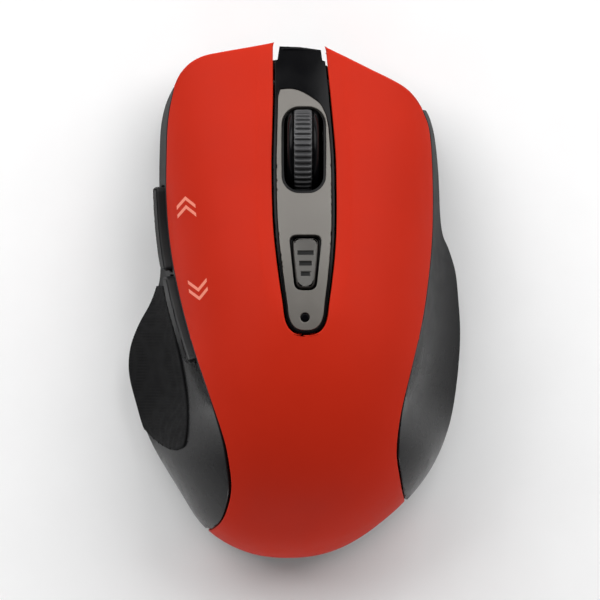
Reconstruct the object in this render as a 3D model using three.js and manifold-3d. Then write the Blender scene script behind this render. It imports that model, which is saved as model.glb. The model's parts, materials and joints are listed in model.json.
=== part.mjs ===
// A wireless right-handed mouse: a red one-piece top cover whose two keys flex, a black centre strip with a
// grey trim, a scroll wheel and a sensitivity button, glossy side panels with a ribbed thumb grip and two
// thumb buttons, and a base with a battery door, a power switch, a parked radio receiver and four glide feet.
// Millimetres. +Y is the front, +X the right-hand side, +Z up. The origin is under the middle of the mouse,
// on the surface that it stands on.
import * as THREE from "three";
import { mergeVertices } from "three/addons/utils/BufferGeometryUtils.js";
import Module from "manifold-3d";

const wasm = await Module();
wasm.setup();

// ---------------------------------------------------------------- driving dimensions
const TAIL_Y = -52; // rearmost point of the shell
const FRONT_Y = 53.5; // the surfaces are made a little past the front edge, then cut
const TAIL_START = -2; // the plan and the height start to round off to the tail here
const RIM_Z = 5; // parting plane between the base and everything above it
const COVER_WALL = 1.9;
const PANEL_WALL = 1.7;
const GAP = 0.3; // between pieces that meet
const FOOT_HEIGHT = 0.6;
const BASE_Z = 0.8; // underside of the base
const FLOOR_TOP = 2.6; // inside face of the base floor
const BASE_RIM = 4.65; // top edge of the base
const SKIRT_REACH = 3; // the keys' front walls stand this far ahead of the base
const BOARD = [7.0, 8.6]; // underside and top of the main circuit board
const FLEX_Y = 3; // the keys bend about this line
const KEY_SKIRT_Z = 8.0; // lower edge of the keys' front wall

const WHEEL = {
  x: 1.6,
  y: 29.7,
  z: 18.9,
  radius: 9,
  half: 3.2,
  tyreHalf: 1.85,
  tyreBed: 7.2,
  axle: 1.1,
  holes: 5.3,
};
const YOKE = { pivotY: 43.4, pivotZ: 13.7, left: [-3.5, -2.3], right: [5.5, 6.8], pin: 0.9 };
const SWITCH = { width: 5.8, length: 12.8, height: 6.5, plunger: 0.8 };
const SWITCH_Z = BOARD[1] + 0.1;
const SWITCH_TOP = SWITCH_Z + SWITCH.height;
const LEFT_SWITCH = [-15, 34];
const RIGHT_SWITCH = [17, 31];
const MIDDLE_SWITCH = [10.2, 26];
const CELL = { x: 2, z: 10.1, radius: 7.25, rear: -42.9, length: 49.5, nub: 1 };
const DOOR = { x: [-7.6, 11.6], y: [-45, 9.9], z: [BASE_Z, 2.3], radius: 3, hingeY: 9.15, hingeZ: 1.55 };
const DPI = { x: 2.1, y: 7.6 };
const INDICATOR = { x: 2.0, y: -3.4, radius: 0.8 };
const SENSOR = { x: 1.7, y: 15.2 };
const RECEIVER = {
  x: 17.7, y: -10, capX: 6.4, capY: 14.6, capTop: 7, plugX: 4.5, plugY: 12, plugTop: 19,
};
const SIDE_BOARD = { x: -18.7, y: 14, turn: 12, thickness: 1.1, z: [8.8, 22.5] };
const POWER = { x: -15, y: 16, travel: 2.5 };

// ---------------------------------------------------------------- finishes
const finish = (color, roughness, metalness = 0) => new THREE.MeshStandardMaterial(
  { color, roughness, metalness }
);
const RED = finish(0xc8321f, 0.42);
const GLOSS_BLACK = finish(0x161617, 0.18);
const PANEL_BLACK = finish(0x2b2b2c, 0.28);
const GREY = finish(0x95918b, 0.4, 0.25);
const RUBBER = finish(0x141415, 0.85);
const MATT_BLACK = finish(0x1d1d1f, 0.6);
const CIRCUIT = finish(0x1f5f3a, 0.5);
const STEEL = finish(0xb9bbbe, 0.3, 1);
const WHITE_GLIDE = finish(0x3a3a3c, 0.35);
const CLEAR = finish(0xdde6ea, 0.05);
const KEY_WHITE = finish(0xe8e6df, 0.5);
const CELL_JACKET = finish(0x3b6ea8, 0.35, 0.3);
const RIBBON_GREY = finish(0xbfc2c4, 0.5);

// ---------------------------------------------------------------- curves of the body
// A smooth function through [at, value] pairs, straight past both ends.
function curve(...points) {
  const last = points.length - 1;
  const slope = points.map((_, i) => {
    const a = points[Math.max(i - 1, 0)];
    const b = points[Math.min(i + 1, last)];
    return (b[1] - a[1]) / (b[0] - a[0]);
  });
  return (at) => {
    if (at <= points[0][0]) return points[0][1] + slope[0] * (at - points[0][0]);
    if (at >= points[last][0]) return points[last][1] + slope[last] * (at - points[last][0]);
    const i = points.findIndex((p) => p[0] > at) - 1;
    const span = points[i + 1][0] - points[i][0];
    const t = (at - points[i][0]) / span;
    const rise = points[i + 1][1] - points[i][1];
    const a = slope[i] * span - rise;
    const b = -slope[i + 1] * span + rise;
    return points[i][1] + t * rise + t * (1 - t) * (a * (1 - t) + b * t);
  };
}
const clamp = THREE.MathUtils.clamp;
const lerp = THREE.MathUtils.lerp;

// Falls from 1 at TAIL_START to 0 at the tail, on a superellipse.
function tail(y, power) {
  const t = clamp((TAIL_START - y) / (TAIL_START - TAIL_Y), 0, 1);
  return Math.pow(1 - Math.pow(t, power), 1 / power);
}

const PLAN_POWER = 2.3;
const HEIGHT_POWER = 2.4;
const ARCH_POWER = 2.5; // of the arch across the mouse
const spine = curve(
  [-52, -1.5], [-46, -1], [-40, 0], [-30, 0.5], [0, 0.8], [30, 0.7], [42, -0.3], [53, -1]
);
const crownHeight = curve(
  [-52, 38.4], [-18, 38.4], [-5, 37.3], [5, 35.2], [15, 32], [25, 28.2], [35, 24], [44, 19.6],
  [50, 16.4], [53, 14.4]
);
const domeLeft = curve(
  [-52, 29.6], [-46, 30.9], [-38, 31.2], [-28, 30], [-14.5, 27.6], [-4, 26.6], [5, 27.4], [14, 28],
  [23, 28.6], [32, 28.6], [42, 27.4], [53, 26.5]
);
const domeRight = curve(
  [-52, 29.6], [-46, 30.5], [-38, 31.6], [-28, 31.5], [-14.5, 31], [-4, 30.5], [5, 30], [14, 29.6],
  [23, 29.4], [32, 29], [42, 28], [53, 27]
);
// Outermost edge of the flared side walls, from the spine.
const lipLeft = curve(
  [-52, 29.6], [-46, 30.9], [-38, 31.3], [-28, 33.4], [-20.8, 34.2], [-14.5, 34.8], [-9.5, 34.1],
  [-5, 32.3], [-0.5, 29.8], [4, 28.3], [10, 28.1], [22, 28.3], [30, 28.1], [35, 27.5], [39.5, 26.1],
  [43.6, 23.9]
);
const lipRight = curve(
  [-52, 29.6], [-46, 30.5], [-38, 32.2], [-33, 32.9], [-25.6, 33.2], [-16, 32.9], [-6, 32.7], [1, 32.2],
  [6, 31.6], [10.5, 30.2], [13, 29.1], [17, 28.5], [25, 28.2], [31, 27.8], [35, 27.4], [38, 26.6],
  [41, 24.6]
);
// Edges of the red cover in plan, where it meets the side panels.
const coverLeft = curve(
  [-46.8, -17.6], [-45, -15.3], [-42.5, -13.9], [-38, -12.9], [-33, -13.3], [-28, -14.3], [-18.4, -17.5],
  [-8.8, -20.7], [1, -23.3], [10.5, -25.1], [20, -25.95], [30, -25.95], [37, -25.6], [43.6, -24.3],
  [53, -22]
);
const coverRight = curve(
  [-42, 23.4], [-40.3, 22.2], [-35.3, 21.1], [-30.5, 20.5], [-23, 21.3], [-13.6, 23.5], [-4, 25.7],
  [6, 27.1], [15, 27.75], [27, 27.7], [35, 27], [39.5, 25.3], [44, 24.2], [53, 23]
);
const LEFT_TIP_Y = -46.4; // the side panels end in a point at these places
const RIGHT_TIP_Y = -40.6;

const crown = (y) => RIM_Z + (crownHeight(y) - RIM_Z) * tail(y, HEIGHT_POWER);
const halfWidth = (y, side) => (side < 0 ? domeLeft(y) : domeRight(y)) * tail(y, PLAN_POWER);
const lipX = (y, side) => spine(y) + side * (side < 0 ? lipLeft(y) : lipRight(y)) * tail(y, PLAN_POWER);

// Height of the arched top at a point in plan.
function topZ(x, y) {
  const across = x - spine(y);
  const u = clamp(Math.abs(across) / Math.max(halfWidth(y, Math.sign(across)), 1e-6), 0, 1);
  return RIM_Z + (crown(y) - RIM_Z) * Math.sqrt(1 - Math.pow(u, ARCH_POWER));
}

// The angle of the cover's edge on the arch: 90 degrees where the cover reaches the rim.
function coverAngle(y, side) {
  const edge = side < 0 ? coverLeft(y) : coverRight(y);
  const tip = side < 0 ? LEFT_TIP_Y : RIGHT_TIP_Y;
  if (y <= tip) return Math.PI / 2;
  return Math.asin(clamp((side * (edge - spine(y))) / halfWidth(y, side), 0, 1));
}
const archPoint = (y, angle) => {
  const x = spine(y) + halfWidth(y, Math.sign(angle)) * Math.sin(angle);
  const rise = Math.sqrt(Math.max(0, 1 - Math.pow(Math.abs(Math.sin(angle)), ARCH_POWER)));
  return new THREE.Vector3(x, y, RIM_Z + (crown(y) - RIM_Z) * rise);
};

// Places along the mouse: closer together towards the tail, where the shape turns down, and at the tips of
// the side panels.
const tipPlaces = [LEFT_TIP_Y, RIGHT_TIP_Y].flatMap((tip) => [0, 0.6, 1.6].map((ahead) => tip + ahead));
function stations(from, to, rearCount, frontStep) {
  const found = [];
  const reach = TAIL_START - TAIL_Y;
  for (let i = 0; i < rearCount; i++) {
    const turn = (Math.PI / 2) * (1 - i / rearCount);
    found.push(TAIL_START - reach * Math.sin(turn));
  }
  for (let y = TAIL_START; y < FRONT_Y + frontStep; y += frontStep) found.push(y);
  const clear = found.filter((y) => tipPlaces.every((tip) => Math.abs(y - tip) > 0.5));
  const inside = [...clear, ...tipPlaces].sort((a, b) => a - b).filter((
    y
  ) => y > from + 0.4 && y < to - 0.8);
  return [from, ...inside, to];
}

// ---------------------------------------------------------------- solids
// Closed geometry to a manifold solid, with its faces turned outwards.
function solid(geometry) {
  const loose = geometry.index ? geometry.toNonIndexed() : geometry.clone();
  for (const name of Object.keys(loose.attributes)) {
    if (name !== "position") loose.deleteAttribute(name);
  }
  const merged = mergeVertices(loose, 1e-4);
  const index = merged.index.array;
  const kept = [];
  for (let i = 0; i < index.length; i += 3) {
    const [a, b, c] = [index[i], index[i + 1], index[i + 2]];
    if (a !== b && b !== c && c !== a) kept.push(a, b, c);
  }
  const make = (list) =>
    new wasm.Manifold(
      new wasm.Mesh(
        { numProp: 3, vertProperties: merged.attributes.position.array, triVerts: new Uint32Array(list) }
      )
    );
  const made = make(kept);
  return made.volume() >= 0 ? made : make(kept.reverse());
}

function geometryOf(made) {
  const mesh = made.getMesh();
  const positions = new Float32Array(mesh.numVert * 3);
  for (let i = 0; i < mesh.numVert; i++) {
    positions.set(mesh.vertProperties.subarray(i * mesh.numProp, i * mesh.numProp + 3), i * 3);
  }
  const geometry = new THREE.BufferGeometry();
  geometry.setAttribute("position", new THREE.BufferAttribute(positions, 3));
  geometry.setIndex(new THREE.BufferAttribute(new Uint32Array(mesh.triVerts), 1));
  geometry.computeVertexNormals();
  return geometry;
}

// The closed body between two grids of points of the same size.
function between(outer, inner) {
  const rows = outer.length;
  const columns = outer[0].length;
  const positions = [];
  const quad = (a, b, c, d) => {
    for (const p of [a, b, c, a, c, d]) positions.push(p.x, p.y, p.z);
  };
  for (let r = 0; r + 1 < rows; r++) {
    for (let c = 0; c + 1 < columns; c++) {
      quad(outer[r][c], outer[r][c + 1], outer[r + 1][c + 1], outer[r + 1][c]);
      quad(inner[r][c], inner[r + 1][c], inner[r + 1][c + 1], inner[r][c + 1]);
    }
    quad(outer[r][0], outer[r + 1][0], inner[r + 1][0], inner[r][0]);
    quad(
      outer[r][columns - 1],
      inner[r][columns - 1],
      inner[r + 1][columns - 1],
      outer[r + 1][columns - 1]
    );
  }
  for (let c = 0; c + 1 < columns; c++) {
    quad(outer[0][c], inner[0][c], inner[0][c + 1], outer[0][c + 1]);
    quad(outer[rows - 1][c], outer[rows - 1][c + 1], inner[rows - 1][c + 1], inner[rows - 1][c]);
  }
  const geometry = new THREE.BufferGeometry();
  geometry.setAttribute("position", new THREE.Float32BufferAttribute(positions, 3));
  return solid(geometry);
}

// A grid moved along its own normals. Positive distances are away from the middle of the mouse.
function offset(grid, distance) {
  const at = (r, c) => grid[clamp(r, 0, grid.length - 1)][clamp(c, 0, grid[0].length - 1)];
  return grid.map((row, r) =>
    row.map((p, c) => {
      const along = at(r + 1, c).clone().sub(at(r - 1, c));
      const across = at(r, c + 1).clone().sub(at(r, c - 1));
      const normal = across.cross(along);
      if (normal.length() < 1e-6) normal.set(0, -1, 0);
      return p.clone().addScaledVector(normal.normalize(), distance);
    })
  );
}

const outlineShape = (points) => new THREE.Shape(points.map(([x, y]) => new THREE.Vector2(x, y)));

// An outline in plan, drawn up from one height to another.
function prism(points, low, high) {
  const geometry = new THREE.ExtrudeGeometry(
    outlineShape(points),
    { depth: high - low, bevelEnabled: false }
  );
  return solid(geometry.translate(0, 0, low));
}

// An outline in the side view, as [y, z] points, drawn out along X.
function sidePrism(points, low, high) {
  const geometry = new THREE.ExtrudeGeometry(
    outlineShape(points),
    { depth: high - low, bevelEnabled: false }
  );
  geometry.applyMatrix4(new THREE.Matrix4().makeBasis(
    new THREE.Vector3(0, 1, 0), new THREE.Vector3(0, 0, 1), new THREE.Vector3(1, 0, 0)));
  return solid(geometry.translate(low, 0, 0));
}

function box([x0, x1], [y0, y1], [z0, z1]) {
  const geometry = new THREE.BoxGeometry(x1 - x0, y1 - y0, z1 - z0);
  return solid(geometry.translate((x0 + x1) / 2, (y0 + y1) / 2, (z0 + z1) / 2));
}

// A cylinder or cone from one height to another, standing on a point in plan.
function post(x, y, low, high, radius, topRadius = radius, sides = 20) {
  const geometry = new THREE.CylinderGeometry(topRadius, radius, high - low, sides);
  return solid(geometry.rotateX(Math.PI / 2).translate(x, y, (low + high) / 2));
}

// A cylinder lying along X.
function pin(x0, x1, y, z, radius, sides = 20) {
  const geometry = new THREE.CylinderGeometry(radius, radius, x1 - x0, sides);
  return solid(geometry.rotateZ(Math.PI / 2).translate((x0 + x1) / 2, y, z));
}

// A rectangle with round corners, as outline points.
function roundedRectangle([x0, x1], [y0, y1], radius, steps = 4) {
  const points = [];
  const [left, right, rear, front] = [x0 + radius, x1 - radius, y0 + radius, y1 - radius];
  const centres = [[right, front], [left, front], [left, rear], [right, rear]];
  centres.forEach(([cx, cy], corner) => {
    for (let i = 0; i <= steps; i++) {
      const angle = (Math.PI / 2) * (corner + i / steps);
      points.push([cx + radius * Math.cos(angle), cy + radius * Math.sin(angle)]);
    }
  });
  return points;
}

// A strip of even thickness that follows a line of points.
function strip(points, thickness) {
  const sides = [[], []];
  points.forEach((p, i) => {
    const a = points[Math.max(i - 1, 0)];
    const b = points[Math.min(i + 1, points.length - 1)];
    const length = Math.hypot(b[0] - a[0], b[1] - a[1]);
    const normal = [
      (-(b[1] - a[1]) / length) * (thickness / 2),
      ((b[0] - a[0]) / length) * (thickness / 2),
    ];
    sides[0].push([p[0] + normal[0], p[1] + normal[1]]);
    sides[1].unshift([p[0] - normal[0], p[1] - normal[1]]);
  });
  return [...sides[0], ...sides[1]];
}

// A wire wound round an upright axis, its radius running from the first to the last turn.
function coil(radiusLow, radiusHigh, height, turns, wire) {
  const line = new THREE.CatmullRomCurve3(
    Array.from({ length: turns * 10 + 1 }, (_, i) => {
      const share = i / (turns * 10);
      const angle = 2 * Math.PI * turns * share;
      const radius = lerp(radiusLow, radiusHigh, share);
      return new THREE.Vector3(
        radius * Math.cos(angle),
        radius * Math.sin(angle),
        wire + (height - 2 * wire) * share
      );
    })
  );
  const section = new THREE.Shape(
    Array.from(
      { length: 6 },
      (_, i) => new THREE.Vector2(wire * Math.cos((i * Math.PI) / 3), wire * Math.sin((i * Math.PI) / 3))
    )
  );
  return solid(new THREE.ExtrudeGeometry(section, { steps: turns * 10, extrudePath: line }));
}

const cut = (from, ...tools) => tools.reduce((left, tool) => left.subtract(tool), from);
const join = (...pieces) => pieces.reduce((whole, piece) => whole.add(piece));

const mouse = new THREE.Group();
function place(name, made, material, group = mouse) {
  const mesh = new THREE.Mesh(geometryOf(made), material);
  mesh.name = name;
  group.add(mesh);
  return mesh;
}

const FAR = 60; // past every surface of the mouse
const everywhere = [-FAR, FAR];

// ---------------------------------------------------------------- plan outlines
// Front edges of the two keys, from the outside to the channel between them.
const frontLeftEdge = [
  [-24.3, 43.4], [-23.4, 45.4], [-21.4, 47.7], [-18.6, 49.25], [-14.4, 50.15], [-9.5, 51], [-4.3, 52],
];
const frontRightEdge = [
  [6, 51.2], [10.5, 48.95], [15.4, 46.5], [19.9, 44.3], [22.6, 42.6], [24.6, 40.4], [26.3, 37.4],
];
const FRONT_EDGE = [...frontLeftEdge, ...frontRightEdge];
// The channel between the keys, which holds the centre strip.
const channelMiddle = curve(
  [-7, 2.2], [-2, 2.2], [8, 2.1], [20, 1.85], [30, 1.7], [40, 1.4], [46, 1.1], [52, 0.8]
);
const channelHalf = curve(
  [-7, 4.5], [-1.5, 4.6], [3.3, 5.2], [8, 5.75], [13, 6.2], [18, 6.4], [25, 6.45], [30, 6.35], [40, 5.8],
  [46, 5.5], [52, 5.2]
);
const CHANNEL_END = -6.95;
const CHANNEL_TURN = -1; // the channel's sides start to close to its rear end here
function channelEdge(y, side, inset) {
  const end = CHANNEL_END + inset;
  const t = clamp((CHANNEL_TURN - y) / (CHANNEL_TURN - end), 0, 1);
  return channelMiddle(y) + side * (channelHalf(y) - inset) * Math.pow(1 - Math.pow(t, 2.6), 1 / 2.6);
}
function channelOutline(inset, front) {
  const end = CHANNEL_END + inset;
  const places = [];
  const endSteps = 6;
  for (let i = 0; i < endSteps; i++) {
    const turn = (Math.PI / 2) * (1 - i / endSteps);
    places.push(CHANNEL_TURN - (CHANNEL_TURN - end) * Math.sin(turn));
  }
  for (let y = CHANNEL_TURN; y < front - 1; y += 6) places.push(y);
  places.push(front);
  const left = places.slice(1).map((y) => [channelEdge(y, -1, inset), y]);
  const right = places.map((y) => [channelEdge(y, 1, inset), y]);
  return [...right, ...left.reverse()];
}
// The grey trim inside the channel. Its front edge is a wave that falls to the right.
function trimOutline(inset) {
  const side = 0.95 + inset;
  const wave = [[-2.9, 42.5], [-0.6, 42.6], [1.4, 42], [3.6, 40.7], [5.2, 39.4], [6, 37.6]];
  const body = channelOutline(side, 35).filter(([, y]) => y < 34.9);
  const right = body.filter(([x]) => x > channelMiddle(0));
  const left = body.filter(([x]) => x <= channelMiddle(0));
  const shrunk = wave.map(([x, y]) => [
    clamp(x, channelEdge(y, -1, side), channelEdge(y, 1, side)), y - inset
  ]);
  return [...right, ...shrunk.reverse(), [channelEdge(35, -1, side), 35], ...left];
}
const wheelSlot = (grow) => {
  return roundedRectangle([-2.7 - grow, 6.2 + grow], [21.6 - grow, 39 + grow], 3.4 + grow);
};
// The sensitivity button narrows to the rear.
const dpiOutline = (grow) => {
  const corners = [
    [DPI.x - 2.6, DPI.y + 4.9], [DPI.x + 2.6, DPI.y + 4.9], [DPI.x + 1.7, DPI.y - 4.9],
    [DPI.x - 1.7, DPI.y - 4.9],
  ];
  const path = new THREE.Shape();
  const round = 1.3;
  corners.forEach((corner, i) => {
    const p = new THREE.Vector2(...corner);
    const before = new THREE.Vector2(...corners[(i + 3) % 4]).sub(p).setLength(round).add(p);
    const after = new THREE.Vector2(...corners[(i + 1) % 4]).sub(p).setLength(round).add(p);
    if (i === 0) path.moveTo(before.x, before.y);
    else path.lineTo(before.x, before.y);
    path.quadraticCurveTo(p.x, p.y, after.x, after.y);
  });
  const scaleX = 1 + grow / 2.3;
  const scaleY = 1 + grow / 4.9;
  return path.getPoints(4).map((p) => [DPI.x + (p.x - DPI.x) * scaleX, DPI.y + (p.y - DPI.y) * scaleY]);
};

// ---------------------------------------------------------------- top cover and keys
const COVER_COLUMNS = 18;
const coverGrid = stations(TAIL_Y, FRONT_Y, 11, 5).map((y) => {
  const from = -coverAngle(y, -1);
  const to = coverAngle(y, 1);
  return Array.from(
    { length: COVER_COLUMNS + 1 },
    (_, i) => archPoint(y, lerp(from, to, i / COVER_COLUMNS))
  );
});
const belowSkin = between(
  offset(coverGrid, -1),
  coverGrid.map((row) => row.map((p) => new THREE.Vector3(p.x * 0.9, p.y, 0)))
);
const coverShell = between(coverGrid, offset(coverGrid, -COVER_WALL));
const underCover = between(
  coverGrid,
  coverGrid.map((row) => row.map((p) => new THREE.Vector3(p.x, p.y, 0)))
);
const aheadOfKeys = prism([...FRONT_EDGE, [60, 30], [60, 80], [-60, 80], [-60, 40]], -1, FAR);
const KEY_WALL = 1.7;
const insideFrontEdge = FRONT_EDGE.map(([x, y]) => [x * 0.94, y - KEY_WALL]);
const skirtPlan = [...FRONT_EDGE, ...insideFrontEdge.reverse()];
const skirt = prism(skirtPlan, KEY_SKIRT_Z, FAR).intersect(underCover);
const channelCut = prism(channelOutline(0, FRONT_Y + 2), -1, FAR);
const coverWithSkirt = cut(coverShell, aheadOfKeys, channelCut).add(cut(skirt, channelCut));

const SCREWS = { rear_left: [-10.6, -28], rear_right: [15.4, -30] };
function coverBoss([x, y]) {
  const bore = post(x, y, 4, 16, 1.15, 1.15, 14);
  return cut(post(x, y, RIM_Z + 1, FAR, 2.6, 2.6, 14).intersect(belowSkin), bore);
}
place(
  "top_cover",
  join(
    coverWithSkirt.intersect(box(everywhere, [-FAR, FLEX_Y - GAP / 2], everywhere)),
    coverBoss(SCREWS.rear_left),
    coverBoss(SCREWS.rear_right)
  ),
  RED
);

const ahead = box(everywhere, [FLEX_Y + GAP / 2, FAR], everywhere);
const PLUNGER_AHEAD = 2; // a switch's plunger stands this far in front of its middle
const PLUNGER_GAP = 0.25; // between a plunger at rest and what presses it
const keyPost = ([x, y]) => {
  const middle = y + PLUNGER_AHEAD;
  return box(
    [x - 1.3, x + 1.3], [middle - 1.3, middle + 1.3], [SWITCH_TOP + SWITCH.plunger + PLUNGER_GAP, FAR]
  ).intersect(belowSkin);
};
function key(side, switchAt) {
  const half = box(
    side < 0 ? [-FAR, channelMiddle(20)] : [channelMiddle(20), FAR],
    everywhere,
    everywhere
  );
  return coverWithSkirt.intersect(ahead).intersect(half).add(keyPost(switchAt));
}
place("left_button", key(-1, LEFT_SWITCH), RED);
place("right_button", key(1, RIGHT_SWITCH), RED);

// ---------------------------------------------------------------- centre strip
// The body between two depths below the arched top, over the channel.
function layer(shallow, deep) {
  const places = Array.from({ length: 14 }, (_, i) => -8.5 + i * 4.7);
  const columns = [-7, -4, -1, 2, 5, 8, 11];
  const sheet = (depth) => places.map((y) => columns.map(
    (x) => new THREE.Vector3(x, y, topZ(x, y) - depth)
  ));
  return between(sheet(shallow), sheet(deep));
}
const BEZEL_TOP = 1.0;
const TRIM_BED = 2.2;
const BEZEL_BOTTOM = 3.6;
const NOSE = { x: [-3.2, 5.0], y: [49.2, 51.1], z: 8.2 };
const bezelPlan = prism(channelOutline(GAP, 48), 0, FAR);
const noseTop = prism([[-3.7, 47.5], [5.5, 47.5], [5.0, 50.6], [-3.2, 51.3]], 0, FAR);
const noseFront = box(NOSE.x, NOSE.y, [NOSE.z, topZ(1, 50.5) - BEZEL_TOP - 0.4]);
const bezelTab = layer(COVER_WALL + 0.7, BEZEL_BOTTOM).intersect(
  box([-0.5, 4.9], [-8.4, -5], everywhere)
);
const wheelGap = prism(wheelSlot(0.25), 0, FAR);
const indicatorHole = (radius) => post(INDICATOR.x, INDICATOR.y, 20, FAR, radius, radius, 14);
place(
  "centre_bezel",
  cut(
    join(layer(BEZEL_TOP, BEZEL_BOTTOM).intersect(bezelPlan.add(noseTop)), noseFront, bezelTab),
    layer(-3, TRIM_BED).intersect(prism(trimOutline(-0.2), 0, FAR)),
    wheelGap,
    prism(dpiOutline(0.9), 0, FAR),
    indicatorHole(INDICATOR.radius + 0.3)
  ),
  GLOSS_BLACK
);
place(
  "trim_plate",
  cut(
    layer(0.85, TRIM_BED - GAP).intersect(prism(trimOutline(0), 0, FAR)),
    prism(wheelSlot(0), 0, FAR),
    prism(dpiOutline(0.65), 0, FAR),
    indicatorHole(INDICATOR.radius + 0.3)
  ),
  GREY
);
place(
  "light_pipe",
  layer(0.9, 6).intersect(
    post(INDICATOR.x, INDICATOR.y, 20, FAR, INDICATOR.radius, INDICATOR.radius, 14)
  ),
  MATT_BLACK
);

// The upper circuit board hangs under the strip and carries the sensitivity switch and the indicator.
const UPPER_BOARD_Z = 25.4;
const DPI_SWITCH_Z = [UPPER_BOARD_Z + 1.3, UPPER_BOARD_Z + 2.5];
const dpiCap = layer(0.55, 4.4).intersect(prism(dpiOutline(0), 0, FAR));
const dpiFlange = layer(BEZEL_BOTTOM + 0.4, 4.9).intersect(prism(dpiOutline(1.3), 0, FAR));
const dpiNub = post(DPI.x, DPI.y, DPI_SWITCH_Z[1] + 0.75, 31, 1.2, 1.2, 12);
place("dpi_button", join(dpiCap, dpiFlange, dpiNub), GREY);
place("upper_board", box([-5, 9.4], [-6.5, 13.5], [UPPER_BOARD_Z, UPPER_BOARD_Z + 1.1]), CIRCUIT);
const dpiSwitchPocket = post(DPI.x, DPI.y, DPI_SWITCH_Z[1] - 0.5, FAR, 1.4, 1.4, 12);
const dpiSwitchCan = box([DPI.x - 2.2, DPI.x + 2.2], [DPI.y - 2.2, DPI.y + 2.2], DPI_SWITCH_Z);
place("dpi_switch", cut(dpiSwitchCan, dpiSwitchPocket), STEEL);
place(
  "dpi_plunger",
  post(DPI.x, DPI.y, DPI_SWITCH_Z[1] + 0.1, DPI_SWITCH_Z[1] + 0.6, 1.1, 1.1, 12),
  MATT_BLACK
);
place(
  "indicator_led",
  box(
    [INDICATOR.x - 0.8, INDICATOR.x + 0.8], [INDICATOR.y - 0.5, INDICATOR.y + 0.5],
    [UPPER_BOARD_Z + 1.2, UPPER_BOARD_Z + 1.9]
  ),
  KEY_WHITE
);

// ---------------------------------------------------------------- side walls
// Where the control point of each wall's profile lies: its share of the way out, and of the way up.
const bowOut = {
  "-1": curve(
    [-46, 0.95], [-34, 0.9], [-26, 0.5], [-18, 0.14], [-5, 0.14], [6, 0.4], [20, 0.55], [44, 0.6]
  ),
  1: curve([-42, 0.95], [-32, 0.9], [-25, 0.55], [-17, 0.2], [0, 0.2], [10, 0.35], [20, 0.55], [42, 0.6]),
};
const bowUp = {
  "-1": curve([-46, 0.6], [-34, 0.62], [-26, 0.5], [-18, 0.34], [-5, 0.3], [6, 0.35], [44, 0.5]),
  1: curve([-42, 0.6], [-32, 0.62], [-25, 0.5], [-17, 0.36], [0, 0.34], [10, 0.4], [42, 0.5]),
};
function wallPoint(y, side, t) {
  const top = archPoint(y, side * coverAngle(y, side));
  const low = new THREE.Vector3(lipX(y, side), y, RIM_Z);
  const bend = new THREE.Vector3(
    lerp(top.x, low.x, bowOut[side](y)),
    y,
    lerp(low.z, top.z, bowUp[side](y))
  );
  const point = top.multiplyScalar((1 - t) * (1 - t));
  return point.addScaledVector(bend, 2 * t * (1 - t)).addScaledVector(low, t * t);
}
// How far along the profile the wall has dropped by so much from the cover's edge.
function wallShare(y, side, drop) {
  const target = wallPoint(y, side, 0).z - drop;
  let [low, high] = [0, 1];
  for (let i = 0; i < 24; i++) {
    const middle = (low + high) / 2;
    if (wallPoint(y, side, middle).z > target) low = middle;
    else high = middle;
  }
  return low;
}
// Rows along the mouse and columns up or down the wall, from one drop below the cover's edge to another.
function wallGrid(places, side, dropTop, dropLow, columns) {
  return places.map((y) => {
    const from = wallShare(y, side, dropTop);
    const to = dropLow === null ? 1 : wallShare(y, side, dropLow);
    const row = Array.from(
      { length: columns + 1 },
      (_, i) => wallPoint(y, side, lerp(from, to, i / columns))
    );
    return side < 0 ? row.reverse() : row;
  });
}
const slab = (grid, outside, inside) => between(offset(grid, outside), offset(grid, inside));
const underRim = box(everywhere, everywhere, [-1, RIM_Z]);

// Room for the cover, and for the keys when they are pressed.
const wideGrid = coverGrid.map((row, r) => {
  const grown = row.map((p) => p.clone());
  const ends = [[0, 1], [row.length - 1, row.length - 2]];
  for (const [i, j] of ends) grown[i].add(row[i].clone().sub(row[j]).setLength(GAP));
  return grown;
});
const coverRoom = slab(wideGrid, 2, -COVER_WALL - GAP);
const keyRoom = coverRoom.translate([0, 0, -0.8]).intersect(ahead);
const panelBody = (side, end, columns) => {
  const tip = (side < 0 ? LEFT_TIP_Y : RIGHT_TIP_Y) + 0.6;
  return wallGrid(stations(tip, end, 11, 6), side, 0.42, null, columns);
};
const frontRoom = prism(
  [
    ...FRONT_EDGE.map(([x, y]) => [x * 0.92, y - KEY_WALL - 2 * GAP]),
    [60, 30],
    [60, 80],
    [-60, 80],
    [-60, 40],
  ],
  KEY_SKIRT_Z - 1.1,
  FAR
);
const trimmed = (made) => cut(made, coverRoom, keyRoom, underRim, frontRoom);

place("right_side_panel", trimmed(slab(panelBody(1, 38.5, 8), 0, -PANEL_WALL)), PANEL_BLACK);

// The rubber grip lies in a recess of the left panel, below the thumb buttons.
const PAD_DEPTH = 1.1;
const padPlan = (grow) => {
  const rounded = [[-22.9, -30 - grow], [-24.6, -30.3 - grow], [-27, -28.9 - grow]];
  const outside = [[-31, -25.2 - grow], [-45, -22 - grow], [-45, 3 + grow]];
  const inside = [[-26.5, 3 + grow], [-25.4, -1.5], [-24.3, -6], [-22.9, -12], [-21.8, -18.5], [-21.5, -24]];
  const corner = [-21.9, -28.3];
  return [...[...inside, corner].map(([x, y]) => [x + grow, y]), ...rounded, ...outside];
};
const FORWARD = { y: [6.1, 22.9], middle: 14 };
const BACK = { y: [-12.3, 4.9], middle: -4 };
const THUMB_DROPS = [1.9, 6.6];
const thumbPlaces = ({ y: [rear, front] }, grow) => Array.from(
  { length: 7 },
  (_, i) => lerp(rear - grow, front + grow, i / 6)
);
const thumbGrid = (button, grow) => wallGrid(
  thumbPlaces(button, grow),
  -1,
  THUMB_DROPS[0] - grow,
  THUMB_DROPS[1] + grow,
  4
);
const leftGrid = panelBody(-1, 43.1, 8);
const padPrism = (grow) => prism(padPlan(grow), 0, FAR);
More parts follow.
